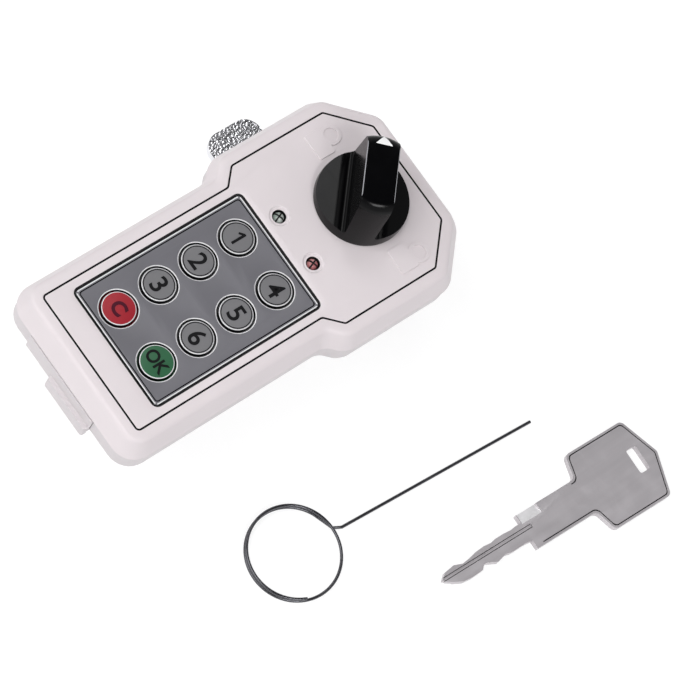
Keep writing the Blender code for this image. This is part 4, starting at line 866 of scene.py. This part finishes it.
def make_boss():
    """Threaded boss with two flats: a helical ridge wound round a plain core."""
    bore, shank, collar, low, collar_low, top = 4.3, 9.0, 11.0, -19.2, 5.0, 6.8
    core = turned([(bore, low), (8.15, low), (8.35, -3.0), (shank, -2.6), (shank, collar_low),
                   (collar, collar_low), (collar, top), (bore, top)], steps=96, closed=True)
    pitch, turns, thread_low, flat, flat_top = 1.5, 10, -18.3, 8.0, 4.9
    steps = 48 * turns
    tooth = [(8.0, -0.62), (8.98, -0.07), (8.98, 0.07), (8.0, 0.62)]
    ridge = bmesh.new()
    verts = [ridge.verts.new(metres(r, 0, z + thread_low)) for r, z in tooth]
    wire = [ridge.edges.new((a, b)) for a, b in zip(verts, verts[1:] + verts[:1])]
    bmesh.ops.spin(ridge, geom=verts + wire, cent=ORIGIN, axis=UP, angle=math.tau * turns,
                   steps=steps, dvec=metres(0, 0, pitch * turns / steps), use_merge=False)
    bmesh.ops.edgenet_fill(ridge, edges=[e for e in ridge.edges if e.is_boundary])
    clean(ridge)
    for bm in (core, ridge):
        for side in (-1, 1):
            below = [face for face, middle in faces_and_middles(bm) if middle.z < flat_top]
            verts_below = list({v for f in below for v in f.verts})
            edges_below = list({e for f in below for e in f.edges})
            bmesh.ops.bisect_plane(bm, geom=verts_below + edges_below + below,
                                   plane_co=metres(side * flat, 0, 0), plane_no=(side, 0, 0),
                                   clear_outer=True)
            bmesh.ops.holes_fill(bm, edges=[e for e in bm.edges if e.is_boundary], sides=0)
    piece("threaded_boss_looks", together(clean(core), clean(ridge)), ZINC_DULL, "casing",
          ["threaded_boss"], angle=40)


def make_nut():
    """Hexagon nut, chamfered on its outer corners."""
    low, high, corner, chamfer = -19, -15, 13.856, 14.2
    nut = moved(pillar(corner, low, high, steps=6), rotation(30))
    shape = turned([(0, low), (12.4, low), (chamfer, -18.1), (chamfer, high), (0, high)], steps=96)
    bore, mouth = 9.3, 9.9
    hole = turned([(0, low - 1), (mouth, low - 1), (bore, -18.4), (bore, -15.4), (mouth, high + 1),
                   (0, high + 1)], steps=72)
    nut = combined(combined(nut, shape, "INTERSECT"), hole)
    piece("boss_nut_looks", nut, ZINC_DULL, "casing", ["boss_nut"], edge=0.10)


def spindle_hole(low, high):
    half = 3.1
    return block((-half, -half, low), (half, half, high))


def make_cam():
    """Plated cam: a round hub, a long tongue with rounded corners and a square hole."""
    low, top, hub, half, tip, root = -23.0, -20.6, 9.0, 8, -42, -3
    arm = raised([(tip, -half), (root, -half), (root, half), (tip, half)], low, top)
    rounded(arm, upright_edges(arm, 0, tip + 2), 4.5, 10, "EDGES")
    cam = combined(arm, pillar(hub, low, top, steps=72), "UNION")
    cam = combined(cam, spindle_hole(low - OVERLAP, top + OVERLAP))
    piece("cam_looks", cam, CAM_ZINC, "spindle", ["cam"], edge=0.85,
          edge_steps=5)


def make_spindle_ends():
    """Stop washer above the cam and the cross-slotted screw that holds it."""
    radius, low, high, edge = 8.4, -20.3, -19.5, 0.2
    washer = turned([(0, low), (radius, low), (radius, high), (0, high)],
                    rounds=((1, edge), (2, edge)))
    piece("stop_washer_looks", combined(washer, spindle_hole(-22, -18)), ZINC_DULL, "spindle",
          ["stop_washer"])
    head, shank, head_top, end, slot_half = 4.6, 1.5, -23.3, -14.3, 0.45
    screw = turned([(0, TABLE), (head, TABLE), (head, head_top), (shank, head_top), (shank, end),
                    (0, end)], rounds=((1, 1.1),), steps=56)
    for angle in (0, 90):
        slot = block((-2.6, -slot_half, -27), (2.6, slot_half, -24.3))
        screw = combined(screw, moved(slot, rotation(angle)))
    piece("cam_screw_looks", screw, ZINC, "spindle", ["cam_screw"], edge=0.10)


# Battery tray
def make_tray():
    """Battery tray with its front, its side walls, the pull tab and two coin cells."""
    half, middle, wall, front = 12.95, -1.75, 0.6, -87.9
    left, right = middle - half, middle + half
    body = block((left, -88.3, BASE_LOW), (right, -36.8, 7.2))
    body = combined(body, block((left + wall, front, 4.1), (right - wall, -37.8, 9)))
    body = combined(body, block((left, -89.6, 2.6), (right, front, 8.5)), "UNION")
    tab_left, tab_right, tab_near, tab_far = -4.6, 11.0, -90.8, -89.2
    tab = raised([(tab_left, tab_near), (tab_right, tab_near), (tab_right, tab_far),
                  (tab_left, tab_far)], 0.3, 4.6)
    rounded(tab, upright_edges(tab, 1, tab_near + 0.1), 0.8, 4, "EDGES")
    piece("battery_tray_looks", combined(body, tab, "UNION"), CASING_REAR, "battery_tray",
          ["battery_tray"], edge=0.14)
    low, radius, thick = 4.6, 12.25, 3.0
    profile = [(0, low), (11.3, low), (11.45, low + 0.3), (12.0, low + 0.4), (radius, low + 0.6),
               (radius, low + thick), (0, low + thick)]
    for number, y in ((1, -75.55), (2, -50.45)):
        name = "battery_cell_%d" % number
        cell = turned(profile, rounds=((5, 0.35),), steps=80, centre=(middle, y))
        piece(name + "_looks", cell, CELL_CAN, "battery_tray", [name])


# Override key and release pin
def make_override_key():
    """Flat override key: bow with a slot, neck with a stepped shoulder and a double-sided blade."""
    thick, neck, bow_low, neck_low, start = 2.0, 5.1, 47.0, 27.2, -2
    above = thick + OVERLAP
    bow = [(-neck, 44.0), (neck, 44.0), (neck, bow_low), (11.59, 48.8), (11.59, 67.85), (0, 71.8),
           (-11.6, 67.85), (-11.6, 48.8), (-neck, bow_low)]
    blade = [(-2.75, 27.5), (-2.75, 25.2), (-2.55, 23.6), (-2.75, 21.6), (-2.75, 18.6),
             (-2.45, 17.0), (-2.7, 14.8), (-2.5, 11.9), (-2.0, 9.4), (-1.75, 7.2), (-2.6, 4.8),
             (-2.2, 1.7), (-0.8, 0), (0.0, 0.6), (1.1, 2.4), (2.2, 4.7), (2.5, 7.3), (2.35, 10.9),
             (1.3, 12.0), (1.35, 13.1), (2.65, 15.8), (2.0, 18.8), (2.4, 20.5), (2.35, 25.3),
             (2.6, 27.5)]
    head = raised(bow, 0, thick, outer=1.5, inner=1.6, steps=5)
    stem = raised([(-neck, neck_low), (neck, neck_low), (neck, 47.5), (-neck, 47.5)], 0, thick)
    key = combined(combined(head, stem, "UNION"), raised(blade[::-1], 0, thick), "UNION")
    key = combined(key, together(block((-4.3, 64.1, -OVERLAP), (2.8, 67.3, above), 0.5),
                                 block((-0.7, start, -OVERLAP), (0.9, 28.7, 0.5)),
                                 block((-1.0, start, thick - 0.2), (-0.3, 29.4, above))))

    slope, slope_low, slope_high = -2.3, 27.4, 33.9
    key = combined(key, moved(block((-6, slope_low, 0), (0, slope_high, 3)),
                              shift(slope, 0, thick) @ rotation(-22, "Y")))

    line_low = thick - 0.12
    rim = [(-neck, 24), (neck, 24), *bow[2:]]
    line = [stack([(height, inset, 1.2, 1.8) for height in (line_low, above)], rim)
            for inset in (0.58, 0.88)]
    kept = combined(block((-3.5, 29.5, 1), (13, 75, 4)), block((-13, 45.5, 1), (-3, 75, 4)),
                    "UNION")
    key = combined(key, combined(combined(*line), kept, "INTERSECT"))
    slots = [block((x, start, thick - 0.4), (x + 0.20, 29.4, above)) for x in (-1.35, -0.45)]
    key = combined(key, together(*slots))

    # Finish 1 paints a highlight on the bevels and on the shoulder's slope; finish 2, black, paints
    # shade in the fine line round the bow and in the blade's two slots.
    edge_highlight, groove_shade = 1, 2
    for face, middle in faces_and_middles(key):
        in_line = abs(middle.z - line_low) < 0.01
        in_slot = (thick - 0.41 < middle.z < thick - 0.21 and middle.y < 29.5
                   and -1.4 < middle.x < -0.2)
        on_slope = (middle.x < slope and slope_low + 0.1 < middle.y < slope_high
                    and 0.5 < face.normal.z < 0.97)
        if in_line or in_slot:
            face.material_index = groove_shade
        elif on_slope:
            face.material_index = edge_highlight
    piece("override_key_looks", moved(key, shift(87.3, -23.8, TABLE) @ rotation(-1.9)), NICKEL,
          "override_key", ["override_key"], edge=0.20,
          others=[NICKEL_EDGE_HIGHLIGHT, SHADE_BLACK], edge_finish=1)


def make_release_pin():
    """Drawn wire: a straight shank that turns into a ring and winds on for part of a turn."""
    wire, ring, bend, shank = 0.42, 12.4, 3.0, 61
    pitch, steps, first, last = 1.6, 96, 8, 164
    curve = bpy.data.curves.new("wire", "CURVE")
    curve.dimensions = "3D"
    curve.bevel_depth = wire * MM
    curve.bevel_resolution = 3
    curve.use_fill_caps = True
    spots = [(0, ring + bend + shank * (1 - k / 10), wire) for k in range(11)]
    spots.append((-1.0, ring + 0.75, wire))
    for k in range(first, last):
        a = math.radians(90) + math.tau * k / steps
        spots.append((ring * math.cos(a), ring * math.sin(a), wire + pitch * k / steps))
    line = curve.splines.new("POLY")
    line.points.add(len(spots) - 1)
    for point, spot in zip(line.points, spots):
        point.co = (*metres(*spot), 1)
    bm = moved(shape_of(linked("wire", curve)), shift(60.1, -52.6, TABLE) @ rotation(-3.6))
    piece("release_pin_looks", clean(bm), WIRE, "release_pin", ["release_pin"], angle=50)


# Finishes of the inner pieces that keep their solids
def finish_inner_pieces():
    looks = {"circuit_board": BOARD, "key_mat": MAT_RUBBER, "sleeve_seal": SEAL_RUBBER,
             "contact_plus": GOLD, "contact_minus": GOLD, "contact_link": GOLD, "solenoid": STEEL,
             "solenoid_plunger": STEEL, "plunger_spring": WIRE, "spindle": STEEL}
    for number in range(1, 5):
        looks["wafer_%d" % number] = STEEL
        looks["case_screw_%d" % number] = STEEL
    for node, look in looks.items():
        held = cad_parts[node]
        for slot in held.material_slots:
            slot.material = look
        if not held.material_slots:
            held.data.materials.append(look)


# Stage, light and camera
def make_stage():
    """White paper that glows where it is seen, and is plain paper to the light it throws back."""
    mat, tree, shader = blank_finish("table_paper")
    ray = tree.nodes.new("ShaderNodeLightPath").outputs
    glossy = maths(tree, "MAXIMUM", ray["Is Glossy Ray"], ray["Is Transmission Ray"])
    seen = maths(tree, "MAXIMUM", ray["Is Camera Ray"], glossy)
    lit, glowing = (0.93, 0.93, 0.93), (0.34, 0.34, 0.34)
    fed(tree, shader, {"Roughness": 0.9, "Specular IOR Level": 0.0,
                       "Base Color": blend_colours(tree, seen, lit, glowing),
                       "Emission Color": (1, 1, 1, 1),
                       "Emission Strength": maths(tree, "MULTIPLY", seen, 0.75)})
    bm = bmesh.new()
    half_size, below = 4.0, 0.02
    bmesh.ops.create_grid(bm, x_segments=1, y_segments=1, size=half_size,
                          matrix=shift(0, 0, TABLE - below))
    mesh = mesh_from("table_top", bm)
    mesh.materials.append(mat)
    table = linked("table_top", mesh)


def make_world():
    """Studio surround, bright at the horizon and dark overhead."""
    world = bpy.data.worlds.new("studio")
    world.use_nodes = True
    bpy.context.scene.world = world
    tree = world.node_tree
    place = tree.nodes.new("ShaderNodeTexCoord")
    split = tree.nodes.new("ShaderNodeSeparateXYZ")
    ramp = tree.nodes.new("ShaderNodeValToRGB")
    fed(tree, split, {"Vector": place.outputs["Generated"]})
    fed(tree, ramp, {"Fac": split.outputs["Z"]})
    fed(tree, tree.nodes["Background"], {"Color": ramp.outputs["Color"], "Strength": 0.85})
    stops = ramp.color_ramp.elements
    stops[0].position, stops[0].color = 0.0, (0.97, 0.97, 0.98, 1)
    stops[1].position, stops[1].color = 1.0, (0.04, 0.04, 0.045, 1)
    for height, level in ((0.45, 0.85), (0.74, 0.34), (0.85, 0.07)):
        between = stops.new(height)
        between.color = (level, level, level * 1.02, 1)


def make_lamp(name, place, size, power):
    """A soft lamp aimed at the origin."""
    light = bpy.data.lights.new(name, "AREA")
    light.shape = "RECTANGLE"
    light.size, light.size_y = size
    light.energy = power
    lamp = linked(name, light)
    lamp.location = place
    lamp.rotation_euler = (-Vector(place)).to_track_quat("-Z", "Y").to_euler()


def make_camera():
    """Camera solved from the photograph, in the lock's own frame."""
    data = bpy.data.cameras.new("camera")
    data.lens = 177.8
    data.sensor_width = 36.0
    camera = linked("camera", data)
    right = Vector((0.5803, 0.7638, 0.2826)).normalized()
    back = Vector((0.1382, -0.4343, 0.8901)).normalized()
    above = back.cross(right).normalized()
    right = above.cross(back)
    turn = Matrix((right, above, back)).transposed().to_4x4()
    camera.matrix_world = Matrix.Translation((0.146678, -0.391928, 0.764876)) @ turn
    bpy.context.scene.camera = camera


make_front_shell()
padlock_mark("padlock_mark_left", -21.2, -14.0, -2.2, 2.6, (-18.2, 4.2))
padlock_mark("padlock_mark_right", 14.4, 21.5, -2.3, 2.9, (18.7, 4.8))
make_rear_base()
make_mounting_plate()
make_panel()
make_keys()
make_light("led_green", -1, LENS_GREEN)
make_light("led_red", 1, LENS_RED)
make_knob()
make_sleeve()
make_plug()
make_boss()
make_nut()
make_cam()
make_spindle_ends()
make_tray()
make_override_key()
make_release_pin()
finish_inner_pieces()

make_stage()
make_world()
make_lamp("key_light", (-0.22, -0.50, 0.76), (0.7, 0.5), 4.6)
make_lamp("fill_light", (0.52, -0.20, 0.75), (0.32, 0.26), 2.5)
make_lamp("side_light", (-0.41, 0.18, 0.84), (0.30, 0.30), 0.9)
make_camera()
bpy.context.scene.view_settings.view_transform = "Standard"
